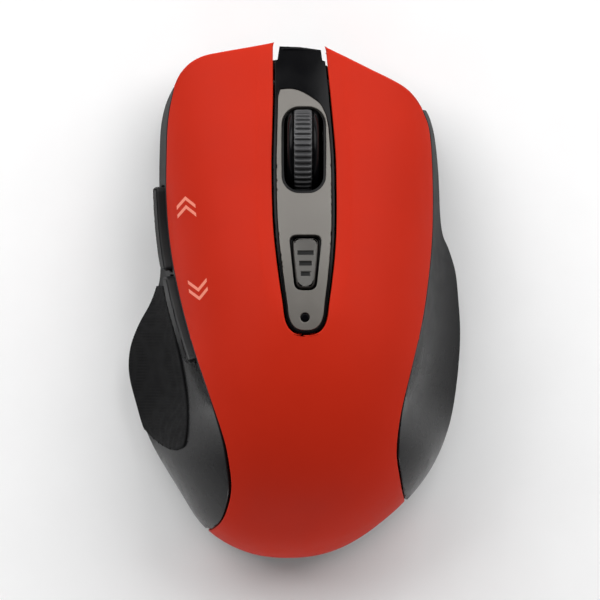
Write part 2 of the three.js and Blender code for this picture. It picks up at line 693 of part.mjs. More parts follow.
place("thumb_grip", trimmed(slab(leftGrid, 0, -PAD_DEPTH).intersect(padPrism(0))), RUBBER);
place(
  "left_side_panel",
  cut(
    trimmed(
      join(
        cut(slab(leftGrid, 0, -PANEL_WALL), padPrism(GAP)),
        slab(leftGrid, -PAD_DEPTH - GAP, -PAD_DEPTH - GAP - PANEL_WALL).intersect(padPrism(1.6))
      )
    ),
    slab(thumbGrid(FORWARD, 0.45), 3, -4),
    slab(thumbGrid(BACK, 0.45), 3, -4)
  ),
  PANEL_BLACK
);

// Blocks set square to the thumb switches' board. Outwards is towards -X before the turn.
function turned(made, degrees, x, y) {
  return made.rotate([0, 0, degrees]).translate([x, y, 0]);
}
const boardSlope = Math.tan(THREE.MathUtils.degToRad(SIDE_BOARD.turn));
const boardX = (y) => SIDE_BOARD.x - boardSlope * (y - SIDE_BOARD.y);
const THUMB_SWITCH = { depth: 3.2, length: 6, height: 4.4, plunger: 0.7 };
function thumbButton(button) {
  const grid = thumbGrid(button, 0);
  const bulge = grid.map((row, r) => row.map(
    (_, c) => (r === 0 || r === grid.length - 1 || c === 0 || c === row.length - 1 ? 1.1 : 1.6)
  ));
  const proud = offset(grid, 1).map((row, r) => row.map(
    (p, c) => grid[r][c].clone().lerp(p, bulge[r][c])
  ));
  const flange = slab(
    wallGrid(thumbPlaces(button, 0.25), -1, THUMB_DROPS[0] - 0.5, THUMB_DROPS[1] + 0.7, 2),
    -PANEL_WALL - 0.35,
    -PANEL_WALL - 1.15
  );
  const height = wallPoint(button.middle, -1, 0).z - 4.3;
  const reach = THUMB_SWITCH.depth + THUMB_SWITCH.plunger + 0.2;
  const stem = turned(
    box([-reach - 2.4, -reach], [-1.6, 1.6], [height - 1.2, height + 1.2]),
    SIDE_BOARD.turn,
    boardX(button.middle),
    button.middle
  );
  return { made: join(between(proud, offset(grid, -PANEL_WALL - 0.6)), flange, stem), height };
}
for (const [name, button] of [["forward", FORWARD], ["back", BACK]]) {
  const { made, height } = thumbButton(button);
  place(`${name}_button`, made, GLOSS_BLACK);
  const { depth, length, height: tall, plunger } = THUMB_SWITCH;
  const x = boardX(button.middle);
  const pocket = box([-depth - 1, -depth + 1], [-1.1, 1.1], [height - 0.9, height + 0.9]);
  const body = cut(
    box([-depth, -0.1], [-length / 2, length / 2], [height - tall / 2, height + tall / 2]),
    pocket
  );
  place(`${name}_switch`, turned(body, SIDE_BOARD.turn, x, button.middle), MATT_BLACK);
  const stick = box([-depth - plunger, -depth + 0.6], [-0.8, 0.8], [height - 0.6, height + 0.6]);
  place(`${name}_plunger`, turned(stick, SIDE_BOARD.turn, x, button.middle), KEY_WHITE);
}
const sideBoardEdge = [
  [-22, SIDE_BOARD.z[0]], [5.5, SIDE_BOARD.z[0]], [5.5, 16], [-7, SIDE_BOARD.z[1]],
  [-22, SIDE_BOARD.z[1]],
];
place(
  "side_board",
  turned(sidePrism(sideBoardEdge, 0, SIDE_BOARD.thickness), SIDE_BOARD.turn, SIDE_BOARD.x, SIDE_BOARD.y),
  CIRCUIT
);

// ---------------------------------------------------------------- base
// A closed body between two outlines of the same number of points at two heights.
function loft(low, lowZ, high, highZ) {
  const count = low.length;
  const cap = THREE.ShapeUtils.triangulateShape(low.map(([x, y]) => new THREE.Vector2(x, y)), []);
  const at = (outline, z, i) => [outline[i % count][0], outline[i % count][1], z];
  const positions = [];
  for (let i = 0; i < count; i++) {
    const [a, b, c, d] = [
      at(low, lowZ, i),
      at(low, lowZ, i + 1),
      at(high, highZ, i + 1),
      at(high, highZ, i),
    ];
    positions.push(...a, ...b, ...c, ...a, ...c, ...d);
  }
  for (const [a, b, c] of cap) {
    positions.push(...at(high, highZ, a), ...at(high, highZ, b), ...at(high, highZ, c));
    positions.push(...at(low, lowZ, c), ...at(low, lowZ, b), ...at(low, lowZ, a));
  }
  const geometry = new THREE.BufferGeometry();
  geometry.setAttribute("position", new THREE.Float32BufferAttribute(positions, 3));
  return solid(geometry);
}
function rimOutline(inset) {
  const shrink = (x, y) => [0.5 + (x - 0.5) * (1 - inset / 31), y * (1 - inset / 52)];
  const right = stations(TAIL_Y, 35, 9, 7).map((y) => shrink(lipX(y, 1), y));
  const left = stations(TAIL_Y, 40.5, 9, 7).slice(1).map((y) => shrink(lipX(y, -1), y));
  const front = FRONT_EDGE.slice(1, -1).map(([x, y]) => shrink(x * 0.95, y - SKIRT_REACH));
  return [...right, ...front.reverse(), ...left.reverse()];
}
const baseBody = loft(rimOutline(4.2), BASE_Z, rimOutline(0.5), BASE_RIM);
const baseHollow = loft(rimOutline(6.4), FLOOR_TOP, rimOutline(2.2), BASE_RIM + 0.1);
const frontRing = cut(prism(rimOutline(0.5), 4, 9.6), prism(rimOutline(2.2), 3, 12));
const frontWall = frontRing.intersect(box([-20.5, 20], [38, 60], everywhere));
const TUB_WALL = 1.2; // of the battery tub and the receiver bay
const tub = { x: [CELL.x - 7.6, CELL.x + 7.6], y: [-45, 8.4], z: [0, CELL.z + CELL.radius + 0.35] };
const grownBy = ([a, b], by) => [a - by, b + by];
const tubHeight = [FLOOR_TOP - 0.5, tub.z[1] + TUB_WALL];
const tubBody = box(grownBy(tub.x, TUB_WALL), grownBy(tub.y, TUB_WALL), tubHeight);
const bay = {
  x: [RECEIVER.x - RECEIVER.capX / 2 - GAP, RECEIVER.x + RECEIVER.capX / 2 + GAP],
  y: [RECEIVER.y - RECEIVER.capY / 2 - GAP, RECEIVER.y + RECEIVER.capY / 2 + GAP],
  z: [0, RECEIVER.plugTop + 0.5],
};
const bayHeight = [FLOOR_TOP - 0.5, bay.z[1] + TUB_WALL];
const bayBody = box(grownBy(bay.x, TUB_WALL), grownBy(bay.y, TUB_WALL), bayHeight);
const doorEdge = roundedRectangle(grownBy(DOOR.x, GAP), grownBy(DOOR.y, GAP), DOOR.radius + GAP);
const doorSwing = 1.3; // the door's front edge turns inside this radius as it opens
const doorFront = box(
  grownBy(DOOR.x, GAP),
  [DOOR.hingeY - 1, DOOR.hingeY + doorSwing],
  [0, DOOR.hingeZ + doorSwing]
);
const doorOpening = prism(doorEdge, 0, FLOOR_TOP + 0.01).add(doorFront);
const BOARD_POSTS = [[-18.5, 36], [-9, 38.6], [10, 38.6], [18.5, 20], [-9, 21]];
const UPPER_POSTS = [[-3.5, -4.5], [7.8, -4.5], [-3.5, 5.5]];
const UPRIGHTS = [[-6.1, -4.7], [7.5, 8.9]];
const upright = (x) => cut(
  box(x, [42.1, 44.7], [FLOOR_TOP - 0.5, 15.5]),
  pin(x[0] - 1, x[1] + 1, YOKE.pivotY, YOKE.pivotZ, YOKE.pin + 0.3)
);
const screwBoss = ([x, y]) => post(x, y, FLOOR_TOP - 0.5, RIM_Z + 0.7, 2.8, 2.6, 16);
const screwHole = ([x, y]) => join(post(x, y, 0, 20, 1.35, 1.35, 12), post(x, y, 0, 2.3, 2.3, 2.3, 16));
const powerSlot = box(
  [POWER.x - 1.6, POWER.x + 1.6], [POWER.y - 1.6, POWER.y + POWER.travel + 1.6], [0, 4]
);
const lensWindow = prism(
  roundedRectangle([SENSOR.x - 3.6, SENSOR.x + 3.6], [SENSOR.y - 4, SENSOR.y + 4], 2.5),
  0,
  4
);
place(
  "base_shell",
  cut(
    join(
      cut(baseBody, baseHollow), frontWall, tubBody, bayBody,
      ...BOARD_POSTS.map(([x, y]) => post(x, y, FLOOR_TOP - 0.5, BOARD[0] - 0.25, 1.8, 1.5, 12)),
      ...UPPER_POSTS.map(([x, y]) => post(x, y, tub.z[1] + 0.5, UPPER_BOARD_Z - 0.25, 1.3, 1.1, 10)),
      ...UPRIGHTS.map(upright), ...Object.values(SCREWS).map(screwBoss)
    ),
    box(tub.x, tub.y, tub.z), box(bay.x, bay.y, bay.z), doorOpening,
    box([bay.x[0] - 2.5, bay.x[0] + 1], [RECEIVER.y - 1.7, RECEIVER.y + 1.7], [0, FLOOR_TOP - 0.6]),
    ...Object.values(SCREWS).map(screwHole), powerSlot, lensWindow, coverRoom
  ),
  MATT_BLACK
);

const doorPlate = prism(roundedRectangle(DOOR.x, DOOR.y, DOOR.radius), DOOR.z[0], DOOR.z[1]);
const doorGrooves = [0, 1, 2, 3].map((i) => box(
  [CELL.x - 5, CELL.x + 5], [-41 + i * 1.6, -40.3 + i * 1.6], [0, DOOR.z[0] + 0.35]
));
place("battery_door", cut(doorPlate, ...doorGrooves), MATT_BLACK);
const FRONT_FOOT = { width: 13, depth: 4.6, round: 2.2 };
const REAR_FOOT = { width: 7.6, depth: 5, round: 2.4 };
const FEET = {
  front_left: { x: -13, y: 36.6, ...FRONT_FOOT },
  front_right: { x: 12.2, y: 34.4, ...FRONT_FOOT },
  rear_left: { x: -14.2, y: -36.8, ...REAR_FOOT },
  rear_right: { x: 15.9, y: -35.5, ...REAR_FOOT },
};
const centred = (middle, size) => [middle - size / 2, middle + size / 2];
for (const [name, { x, y, width, depth, round }] of Object.entries(FEET)) {
  const outline = roundedRectangle(centred(x, width), centred(y, depth), round);
  place(`foot_${name}`, prism(outline, 0, FOOT_HEIGHT), WHITE_GLIDE);
}
for (const [name, [x, y]] of Object.entries(SCREWS)) {
  const recess = [0, 1.6];
  const slotAcross = box(centred(x, 2.6), centred(y, 0.5), recess);
  const slotAlong = box(centred(x, 0.5), centred(y, 2.6), recess);
  const head = cut(post(x, y, 1.1, 2.1, 2, 2, 16), slotAcross, slotAlong);
  place(`screw_${name}`, join(head, post(x, y, 2, 12, 0.85, 0.85, 10)), STEEL);
}

// ---------------------------------------------------------------- battery and receiver
// A round body lying along Y: [radius, distance from its rear end] pairs.
function alongY(profile, x, y, z, sides = 24) {
  const geometry = new THREE.LatheGeometry(profile.map(([r, d]) => new THREE.Vector2(r, d)), sides);
  return solid(geometry.translate(x, y, z));
}
const cellProfile = [
  [0, 0], [CELL.radius - 0.5, 0], [CELL.radius, 0.5], [CELL.radius, CELL.length - 0.5],
  [CELL.radius - 0.5, CELL.length], [2.7, CELL.length], [2.7, CELL.length + CELL.nub],
  [0, CELL.length + CELL.nub],
];
place("battery", alongY(cellProfile, CELL.x, CELL.rear, CELL.z), CELL_JACKET);
place(
  "battery_contact",
  box([CELL.x - 4.5, CELL.x + 4.5], [7.75, 8.1], [CELL.z - 6, CELL.z + 4.5]),
  STEEL
);
const cellSpring = coil(3.6, 2.2, 1.6, 2, 0.28).rotate([-90, 0, 0]).translate(
  [CELL.x, CELL.rear - 1.9, CELL.z]
);
place("battery_spring", cellSpring, STEEL);
const capZ = [BASE_Z + 0.3, RECEIVER.capTop];
place(
  "receiver_cap",
  box(
    [RECEIVER.x - RECEIVER.capX / 2, RECEIVER.x + RECEIVER.capX / 2],
    [RECEIVER.y - RECEIVER.capY / 2, RECEIVER.y + RECEIVER.capY / 2], capZ
  ),
  MATT_BLACK
);
place(
  "receiver_plug",
  cut(
    box(
      [RECEIVER.x - RECEIVER.plugX / 2, RECEIVER.x + RECEIVER.plugX / 2],
      [RECEIVER.y - RECEIVER.plugY / 2, RECEIVER.y + RECEIVER.plugY / 2],
      [RECEIVER.capTop + 0.05, RECEIVER.plugTop]
    ),
    box(
      [RECEIVER.x - 1.9, RECEIVER.x + 0.3], [RECEIVER.y - 5.6, RECEIVER.y + 5.6],
      [RECEIVER.capTop + 2, RECEIVER.plugTop + 1]
    )
  ),
  STEEL
);

// ---------------------------------------------------------------- main board and what it carries
const boardPlan = [
  [-16.2, 10.2], [-16.2, 19.4], [-20.6, 19.4], [-21, 36], [-18, 41.2], [13, 41.2], [19, 36.6],
  [21.2, 32], [21.2, 10.2],
];
const wheelWindow = box([-2.5, 5.7], [18.8, 41.9], [BOARD[0] - 1, BOARD[1] + 1]);
place(
  "main_board",
  cut(
    prism(boardPlan, BOARD[0], BOARD[1]),
    wheelWindow,
    post(SENSOR.x, SENSOR.y, BOARD[0] - 1, BOARD[1] + 1, 2, 2, 14)
  ),
  CIRCUIT
);
const SWITCHES = { left: LEFT_SWITCH, right: RIGHT_SWITCH, middle: MIDDLE_SWITCH };
for (const [name, [x, y]] of Object.entries(SWITCHES)) {
  const top = SWITCH_TOP;
  const pocket = box(
    [x - 1, x + 1], [y + PLUNGER_AHEAD - 1.5, y + PLUNGER_AHEAD + 1.5], [top - 1.2, top + 1]
  );
  place(
    `${name}_switch`,
    cut(
      box(
        [x - SWITCH.width / 2, x + SWITCH.width / 2], [y - SWITCH.length / 2, y + SWITCH.length / 2],
        [SWITCH_Z, top]
      ),
      pocket
    ),
    MATT_BLACK
  );
  place(
    `${name}_plunger`,
    box(
      [x - 0.7, x + 0.7], [y + PLUNGER_AHEAD - 1.2, y + PLUNGER_AHEAD + 1.2],
      [top - 0.7, top + SWITCH.plunger]
    ),
    KEY_WHITE
  );
}
place(
  "sensor_chip",
  box(
    [SENSOR.x - 4.2, SENSOR.x + 4.2], [SENSOR.y - 3.6, SENSOR.y + 3.6], [BOARD[1] + 0.1, BOARD[1] + 2.4]
  ),
  MATT_BLACK
);
place(
  "sensor_lens",
  join(
    box(
      [SENSOR.x - 5, SENSOR.x + 5], [SENSOR.y - 4.4, SENSOR.y + 4.4], [FLOOR_TOP + 0.2, BOARD[0] - 0.3]
    ),
    post(SENSOR.x, SENSOR.y, 1.4, FLOOR_TOP + 1, 2.8, 3.1, 16)
  ),
  CLEAR
);
place("sensor_led", box([-7.6, -4.6], [12.6, 16.8], [BOARD[1] + 0.1, BOARD[1] + 2.9]), CLEAR);
place("radio_chip", box([10.5, 16], [12.4, 17.9], [BOARD[1] + 0.1, BOARD[1] + 1.1]), MATT_BLACK);
place("crystal", box([17.4, 20.2], [12, 16.5], [BOARD[1] + 0.1, BOARD[1] + 1.4]), STEEL);
place("capacitor", post(-12.4, 13.6, BOARD[1] + 0.1, BOARD[1] + 6, 2.1, 2.1, 16), CELL_JACKET);
// The ribbon leaves the underside of the upper board and turns down to the main board, as [y, z] points.
const ribbonLine = [
  [
    10.4,
    UPPER_BOARD_Z - 0.45,
  ], [12, UPPER_BOARD_Z - 0.6], [12.9, 23.5], [12.6, 16], [12.9, 10.5], [12.4, BOARD[1] + 0.35],
];
place("ribbon_cable", sidePrism(strip(ribbonLine, 0.45), 6.7, 9.1), RIBBON_GREY);
place(
  "power_switch",
  box([POWER.x - 2, POWER.x + 2], [POWER.y - 3.4, POWER.y + POWER.travel + 3.4], [4.3, BOARD[0] - 0.2]),
  STEEL
);
const knobStalk = box(centred(POWER.x, 2.4), centred(POWER.y, 2.4), [1.2, 4.1]);
const knobCollar = box(centred(POWER.x, 3.8), centred(POWER.y, 3.8), [2.85, 3.5]);
place("power_knob", knobStalk.add(knobCollar), MATT_BLACK);
place("ir_emitter", box([-4.7, -2.6], [26.7, 29.1], [BOARD[1] + 0.1, 14.5]), CLEAR);
place("ir_detector", box([5.8, 7.0], [26.7, 29.1], [BOARD[1] + 0.1, 14.5]), MATT_BLACK);

// ---------------------------------------------------------------- scroll wheel
// A round body lying along X: [radius, distance from its middle] pairs.
function alongX(profile, x, y, z, sides = 40) {
  const geometry = new THREE.LatheGeometry(profile.map(([r, d]) => new THREE.Vector2(r, d)), sides);
  return solid(geometry.rotateZ(-Math.PI / 2).translate(x, y, z));
}
const bed = WHEEL.tyreHalf + 0.2;
const flank = (side) => [
  [7.2, side * WHEEL.half], [8.3, side * 2.9], [8.75, side * bed], [WHEEL.tyreBed, side * bed],
];
const hubProfile = [
  [0, -4.9], [WHEEL.axle, -4.9], [WHEEL.axle, -WHEEL.half], ...flank(-1), ...flank(1).reverse(),
  [WHEEL.axle, WHEEL.half], [WHEEL.axle, 5], [0, 5],
];
const encoderHoles = Array.from({ length: 12 }, (_, i) => {
  const angle = (i * Math.PI) / 6;
  return pin(
    -3,
    7,
    WHEEL.y + WHEEL.holes * Math.cos(angle),
    WHEEL.z + WHEEL.holes * Math.sin(angle),
    0.9,
    8
  );
});
place("wheel_hub", cut(alongX(hubProfile, WHEEL.x, WHEEL.y, WHEEL.z), ...encoderHoles), GLOSS_BLACK);
const RIBS = 46;
const ribbed = Array.from({ length: RIBS * 2 }, (_, i) => {
  const angle = (Math.PI * i) / RIBS;
  const radius = i % 2 ? WHEEL.radius - 0.4 : WHEEL.radius;
  return [WHEEL.y + radius * Math.cos(angle), WHEEL.z + radius * Math.sin(angle)];
});
const tyreSpan = [WHEEL.x - WHEEL.tyreHalf, WHEEL.x + WHEEL.tyreHalf];
place(
  "wheel_tyre",
  cut(sidePrism(ribbed, ...tyreSpan), pin(-5, 8, WHEEL.y, WHEEL.z, WHEEL.tyreBed + 0.2, 40)),
  RUBBER
);

const armSide = [
  [44.5, 12.6], [44.5, 14.8], [40.5, 16.4], [33, 20.6], [26.6, 20.6], [23.8, 19], [23.8, 17], [30, 16.6],
  [40, 12.6],
];
const axleHoles = pin(-6, 9, WHEEL.y, WHEEL.z, WHEEL.axle + 0.3);
place(
  "wheel_carrier",
  cut(
    join(
      sidePrism(armSide, ...YOKE.left), sidePrism(armSide, ...YOKE.right), box(
        [YOKE.left[0], YOKE.right[1]], [42.3, 44.5], [12.6, 14.8]
      ),
      pin(YOKE.left[0] - 2.3, YOKE.right[1] + 1.8, YOKE.pivotY, YOKE.pivotZ, YOKE.pin, 14),
      box(
        [YOKE.right[0], MIDDLE_SWITCH[0] + 1.4], [MIDDLE_SWITCH[1] + 0.6, MIDDLE_SWITCH[1] + 3.4],
        [SWITCH_TOP + SWITCH.plunger + PLUNGER_GAP, 17.6]
      ),
      box([-6.8, YOKE.left[1]], [31.4, 34.6], [15.8, 17.4])
    ),
    axleHoles
  ),
  GREY
);
place(
  "wheel_spring",
  coil(1.3, 1.3, 15.6 - BOARD[1] - 0.1, 5, 0.25).translate([-5.1, 33, BOARD[1] + 0.05]),
  STEEL
);

export default mouse;
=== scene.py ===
import json
import math

import bpy
import numpy as np
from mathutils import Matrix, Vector
from mathutils.geometry import delaunay_2d_cdt


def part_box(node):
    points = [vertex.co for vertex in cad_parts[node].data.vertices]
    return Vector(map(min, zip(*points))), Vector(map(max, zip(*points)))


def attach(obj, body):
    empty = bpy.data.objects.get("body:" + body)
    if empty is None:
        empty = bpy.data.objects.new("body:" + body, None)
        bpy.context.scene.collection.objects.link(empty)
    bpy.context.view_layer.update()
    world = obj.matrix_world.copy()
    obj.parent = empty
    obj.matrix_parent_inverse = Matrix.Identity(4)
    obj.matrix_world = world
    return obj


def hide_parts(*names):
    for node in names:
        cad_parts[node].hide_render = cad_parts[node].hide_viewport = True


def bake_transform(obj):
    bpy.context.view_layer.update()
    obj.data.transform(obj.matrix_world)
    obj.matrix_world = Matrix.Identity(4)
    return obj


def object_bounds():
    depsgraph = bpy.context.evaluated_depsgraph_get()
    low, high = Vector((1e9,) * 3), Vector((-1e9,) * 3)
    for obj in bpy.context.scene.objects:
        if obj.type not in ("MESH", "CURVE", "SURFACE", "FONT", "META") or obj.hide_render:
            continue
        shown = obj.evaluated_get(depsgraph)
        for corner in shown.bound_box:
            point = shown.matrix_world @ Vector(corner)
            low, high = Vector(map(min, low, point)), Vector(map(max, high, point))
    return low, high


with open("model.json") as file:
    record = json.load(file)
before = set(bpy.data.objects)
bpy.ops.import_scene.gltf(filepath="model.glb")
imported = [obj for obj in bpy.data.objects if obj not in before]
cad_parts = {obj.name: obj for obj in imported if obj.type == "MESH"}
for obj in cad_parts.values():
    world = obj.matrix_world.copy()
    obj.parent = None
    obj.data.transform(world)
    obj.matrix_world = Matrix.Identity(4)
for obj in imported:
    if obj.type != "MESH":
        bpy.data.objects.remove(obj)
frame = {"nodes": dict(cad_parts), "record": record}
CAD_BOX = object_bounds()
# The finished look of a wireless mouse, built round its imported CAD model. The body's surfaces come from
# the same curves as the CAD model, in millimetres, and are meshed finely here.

MM = 0.001


# ------------------------------------------------------------------ curves of the body, in millimetres
def curve(*points):
    """A smooth function through (at, value) pairs, straight past both ends."""
    at, value = np.array(points, float).T
    ahead = np.minimum(np.arange(len(at)) + 1, len(at) - 1)
    behind = np.maximum(np.arange(len(at)) - 1, 0)
    slope = (value[ahead] - value[behind]) / (at[ahead] - at[behind])

    def evaluate(where):
        where = np.asarray(where, float)
        i = np.clip(np.searchsorted(at, where, side="right") - 1, 0, len(at) - 2)
        span, rise = at[i + 1] - at[i], value[i + 1] - value[i]
        t = (where - at[i]) / span
        a, b = slope[i] * span - rise, rise - slope[i + 1] * span
        inner = value[i] + t * rise + t * (1 - t) * (a * (1 - t) + b * t)
        inner = np.where(where < at[0], value[0] + slope[0] * (where - at[0]), inner)
        return np.where(where > at[-1], value[-1] + slope[-1] * (where - at[-1]), inner)

    return evaluate


def lerp(a, b, t):
    return a + (b - a) * t


def smooth(t):
    t = np.clip(t, 0, 1)
    return t * t * (3 - 2 * t)


TAIL_Y, TAIL_START, RIM_Z = -52.0, -2.0, 5.0
PLAN_POWER, HEIGHT_POWER, ARCH_POWER = 2.3, 2.4, 2.5
LEFT_TIP_Y, RIGHT_TIP_Y = -46.4, -40.6
spine = curve(
    (-52, -1.5), (-46, -1), (-40, 0), (-30, 0.5), (0, 0.8), (30, 0.7), (42, -0.3), (53, -1))
crown_height = curve(
    (-52, 38.4), (-18, 38.4), (-5, 37.3), (5, 35.2), (15, 32), (25, 28.2), (35, 24), (44, 19.6),
    (50, 16.4), (53, 14.4))
dome_left = curve(
    (-52, 29.6), (-46, 30.9), (-38, 31.2), (-28, 30), (-14.5, 27.6), (-4, 26.6), (5, 27.4), (14, 28),
    (23, 28.6), (32, 28.6), (42, 27.4), (53, 26.5))
dome_right = curve(
    (-52, 29.6), (-46, 30.5), (-38, 31.6), (-28, 31.5), (-14.5, 31), (-4, 30.5), (5, 30), (14, 29.6),
    (23, 29.4), (32, 29), (42, 28), (53, 27))
lip_left = curve(
    (-52, 29.6), (-46, 30.9), (-38, 31.3), (-28, 33.4), (-20.8, 34.2), (-14.5, 34.8), (-9.5, 34.1),
    (-5, 32.3), (-0.5, 29.8), (4, 28.3), (10, 28.1), (22, 28.3), (30, 28.1), (35, 27.5), (39.5, 26.1),
    (43.6, 23.9))
lip_right = curve(
    (-52, 29.6), (-46, 30.5), (-38, 32.2), (-33, 32.9), (-25.6, 33.2), (-16, 32.9), (-6, 32.7),
    (1, 32.2), (6, 31.6), (10.5, 30.2), (13, 29.1), (17, 28.5), (25, 28.2), (31, 27.8), (35, 27.4),
    (38, 26.6), (41, 24.6))
cover_left = curve(
    (-46.8, -17.6), (-45, -15.3), (-42.5, -13.9), (-38, -12.9), (-33, -13.3), (-28, -14.3),
    (-18.4, -17.5), (-8.8, -20.7), (1, -23.3), (10.5, -25.1), (20, -25.95), (30, -25.95), (37, -25.6),
    (43.6, -24.3), (53, -22))
cover_right = curve(
    (-42, 23.4), (-40.3, 22.2), (-35.3, 21.1), (-30.5, 20.5), (-23, 21.3), (-13.6, 23.5), (-4, 25.7),
    (6, 27.1), (15, 27.75), (27, 27.7), (35, 27), (39.5, 25.3), (44, 24.2), (53, 23))
front_left = curve(
    (-24.3, 43.4), (-23.4, 45.4), (-21.4, 47.7), (-18.6, 49.25), (-14.4, 50.15), (-9.5, 51),
    (-4.3, 52))
front_right = curve(
    (6, 51.2), (10.5, 48.95), (15.4, 46.5), (19.9, 44.3), (22.6, 42.6), (24.6, 40.4), (26.3, 37.4))
CHANNEL_END, CHANNEL_TURN, CHANNEL_POWER = -6.95, -1.0, 2.6
channel_middle = curve(
    (-7, 2.2), (-2, 2.2), (8, 2.1), (20, 1.85), (30, 1.7), (40, 1.4), (46, 1.1), (52, 0.8))
channel_half = curve(
    (-7, 4.5), (-1.5, 4.6), (3.3, 5.2), (8, 5.75), (13, 6.2), (18, 6.4), (25, 6.45), (30, 6.35),
    (40, 5.8), (46, 5.5), (52, 5.2))


def tail(y, power):
    """Falls from 1 at TAIL_START to 0 at the tail, on a superellipse."""
    t = np.clip((TAIL_START - y) / (TAIL_START - TAIL_Y), 0, 1)
    return (1 - t ** power) ** (1 / power)


def crown(y):
    return RIM_Z + (crown_height(y) - RIM_Z) * tail(y, HEIGHT_POWER)


def half_width(y, side):
    return np.where(np.asarray(side) < 0, dome_left(y), dome_right(y)) * tail(y, PLAN_POWER)


def lip_x(y, side):
    return spine(y) + side * (lip_left(y) if side < 0 else lip_right(y)) * tail(y, PLAN_POWER)


def arch_z(x, y):
    """Height of the arched top at a point in plan."""
    across = x - spine(y)
    u = np.clip(np.abs(across) / np.maximum(half_width(y, np.sign(across)), 1e-6), 0, 0.9999)
    return RIM_Z + (crown(y) - RIM_Z) * np.sqrt(1 - u ** ARCH_POWER)


def cover_angle(y, side):
    edge = cover_left(y) if side < 0 else cover_right(y)
    tip = LEFT_TIP_Y if side < 0 else RIGHT_TIP_Y
    share = np.clip(side * (edge - spine(y)) / np.maximum(half_width(y, side), 1e-6), 0, 1)
    return np.where(y <= tip, math.pi / 2, np.arcsin(share))


def arch_point(y, angle):
    y, angle = np.broadcast_arrays(y, angle)
    lean = np.sin(angle)
    x = spine(y) + half_width(y, np.sign(angle)) * lean
    rise = np.sqrt(np.maximum(0, 1 - np.abs(lean) ** ARCH_POWER))
    return np.stack([x, y, RIM_Z + (crown(y) - RIM_Z) * rise], -1)


def channel_edge(y, side, inset=0.0):
    end = CHANNEL_END + inset
    t = np.clip((CHANNEL_TURN - y) / (CHANNEL_TURN - end), 0, 1)
    narrowing = (1 - t ** CHANNEL_POWER) ** (1 / CHANNEL_POWER)
    return channel_middle(y) + side * (channel_half(y) - inset) * narrowing


BEVEL_WIDTH, BEVEL_DEPTH = 3.1, 0.95
BEVEL_START, BEVEL_FADE = -4, 13  # where it begins, and how far on it reaches its full depth
BEVEL_SOFT = 0.22  # how gently it leaves the arch


def cover_z(x, y):
    """The arched top with the bevel that runs along both sides of the channel."""
    away = np.abs(x - channel_middle(y)) - channel_half(y)
    fall = smooth((y - BEVEL_START) / BEVEL_FADE) * BEVEL_DEPTH / BEVEL_WIDTH
    near = BEVEL_SOFT * np.logaddexp(0, (BEVEL_WIDTH - away) / BEVEL_SOFT)
    return arch_z(x, y) - fall * np.where(away < BEVEL_WIDTH + 3, near, 0)


# ------------------------------------------------------------------ side walls
LEFT, RIGHT = -1, 1
# How far the middle of a wall's profile bows out, and up, between the cover's edge and the lip.
BOW_OUT = {
    LEFT: curve(
        (-46, 0.95), (-34, 0.9), (-26, 0.5), (-18, 0.14), (-5, 0.14), (6, 0.4), (20, 0.55), (44, 0.6)),
    RIGHT: curve(
        (-42, 0.95), (-32, 0.9), (-25, 0.55), (-17, 0.2), (0, 0.2), (10, 0.35), (20, 0.55), (42, 0.6)),
}
BOW_UP = {
    LEFT: curve((-46, 0.6), (-34, 0.62), (-26, 0.5), (-18, 0.34), (-5, 0.3), (6, 0.35), (44, 0.5)),
    RIGHT: curve((-42, 0.6), (-32, 0.62), (-25, 0.5), (-17, 0.36), (0, 0.34), (10, 0.4), (42, 0.5)),
}


def wall_point(y, share, side):
    """A point of a side wall. share runs from 0 at the cover's edge to 1 at the lip."""
    y, share = np.broadcast_arrays(np.asarray(y, float), np.asarray(share, float))
    top = arch_point(y, side * cover_angle(y, side))
    low = np.stack([lip_x(y, side), y, np.full_like(y, RIM_Z)], -1)
    out, up = BOW_OUT[side](y), BOW_UP[side](y)
    bend_x = lerp(top[..., 0], low[..., 0], out)
    bend_z = lerp(low[..., 2], top[..., 2], up)
    bend = np.stack([bend_x, y, bend_z], -1)
    t = share[..., None]
    return top * (1 - t) ** 2 + bend * 2 * t * (1 - t) + low * t ** 2


def wall_share(y, side, reached):
    """How far along each wall profile a test on the point turns true."""
    y = np.asarray(y, float)
    low, high = np.zeros_like(y), np.ones_like(y)
    for _ in range(30):
        middle = (low + high) / 2
        past = reached(wall_point(y, middle, side))
        low, high = np.where(past, low, middle), np.where(past, middle, high)
    return low


def share_at_drop(y, side, drop):
    top = wall_point(y, 0, side)[..., 2]
    return wall_share(y, side, lambda point: point[..., 2] < top - drop)


def share_at_x(y, side, x):
    return wall_share(y, side, lambda point: side * (point[..., 0] - x) > 0)


# ------------------------------------------------------------------ meshes
def numeric_normals(surface, u, v, outward=1):
    """Unit normals of a surface of two numbers, on the side that outward picks."""
    step = 1e-3
    du = surface(u + step, v) - surface(u - step, v)
    dv = surface(u, v + step) - surface(u, v - step)
    normal = np.cross(du, dv) * outward
    return normal / np.maximum(np.linalg.norm(normal, axis=-1, keepdims=True), 1e-12)


def grid_faces(rows, columns):
    """Four-cornered faces of a grid whose points run along each row in turn."""
    i = np.arange(rows - 1)[:, None] * columns + np.arange(columns - 1)[None, :]
    return np.stack([i, i + 1, i + columns + 1, i + columns], -1).reshape(-1, 4).tolist()


def inside(points, loops):
    """Which points have an odd number of the loops' edges on one side of them."""
    odd = np.zeros(len(points), bool)
    for loop in loops:
        for (ax, ay), (bx, by) in zip(loop, np.roll(loop, -1, 0)):
            crosses = (ay > points[:, 1]) != (by > points[:, 1])
            if crosses.any():
                at = ax + (points[:, 1] - ay) * (bx - ax) / (by - ay if by != ay else 1e-12)
                odd ^= crosses & (points[:, 0] < at)
    return odd


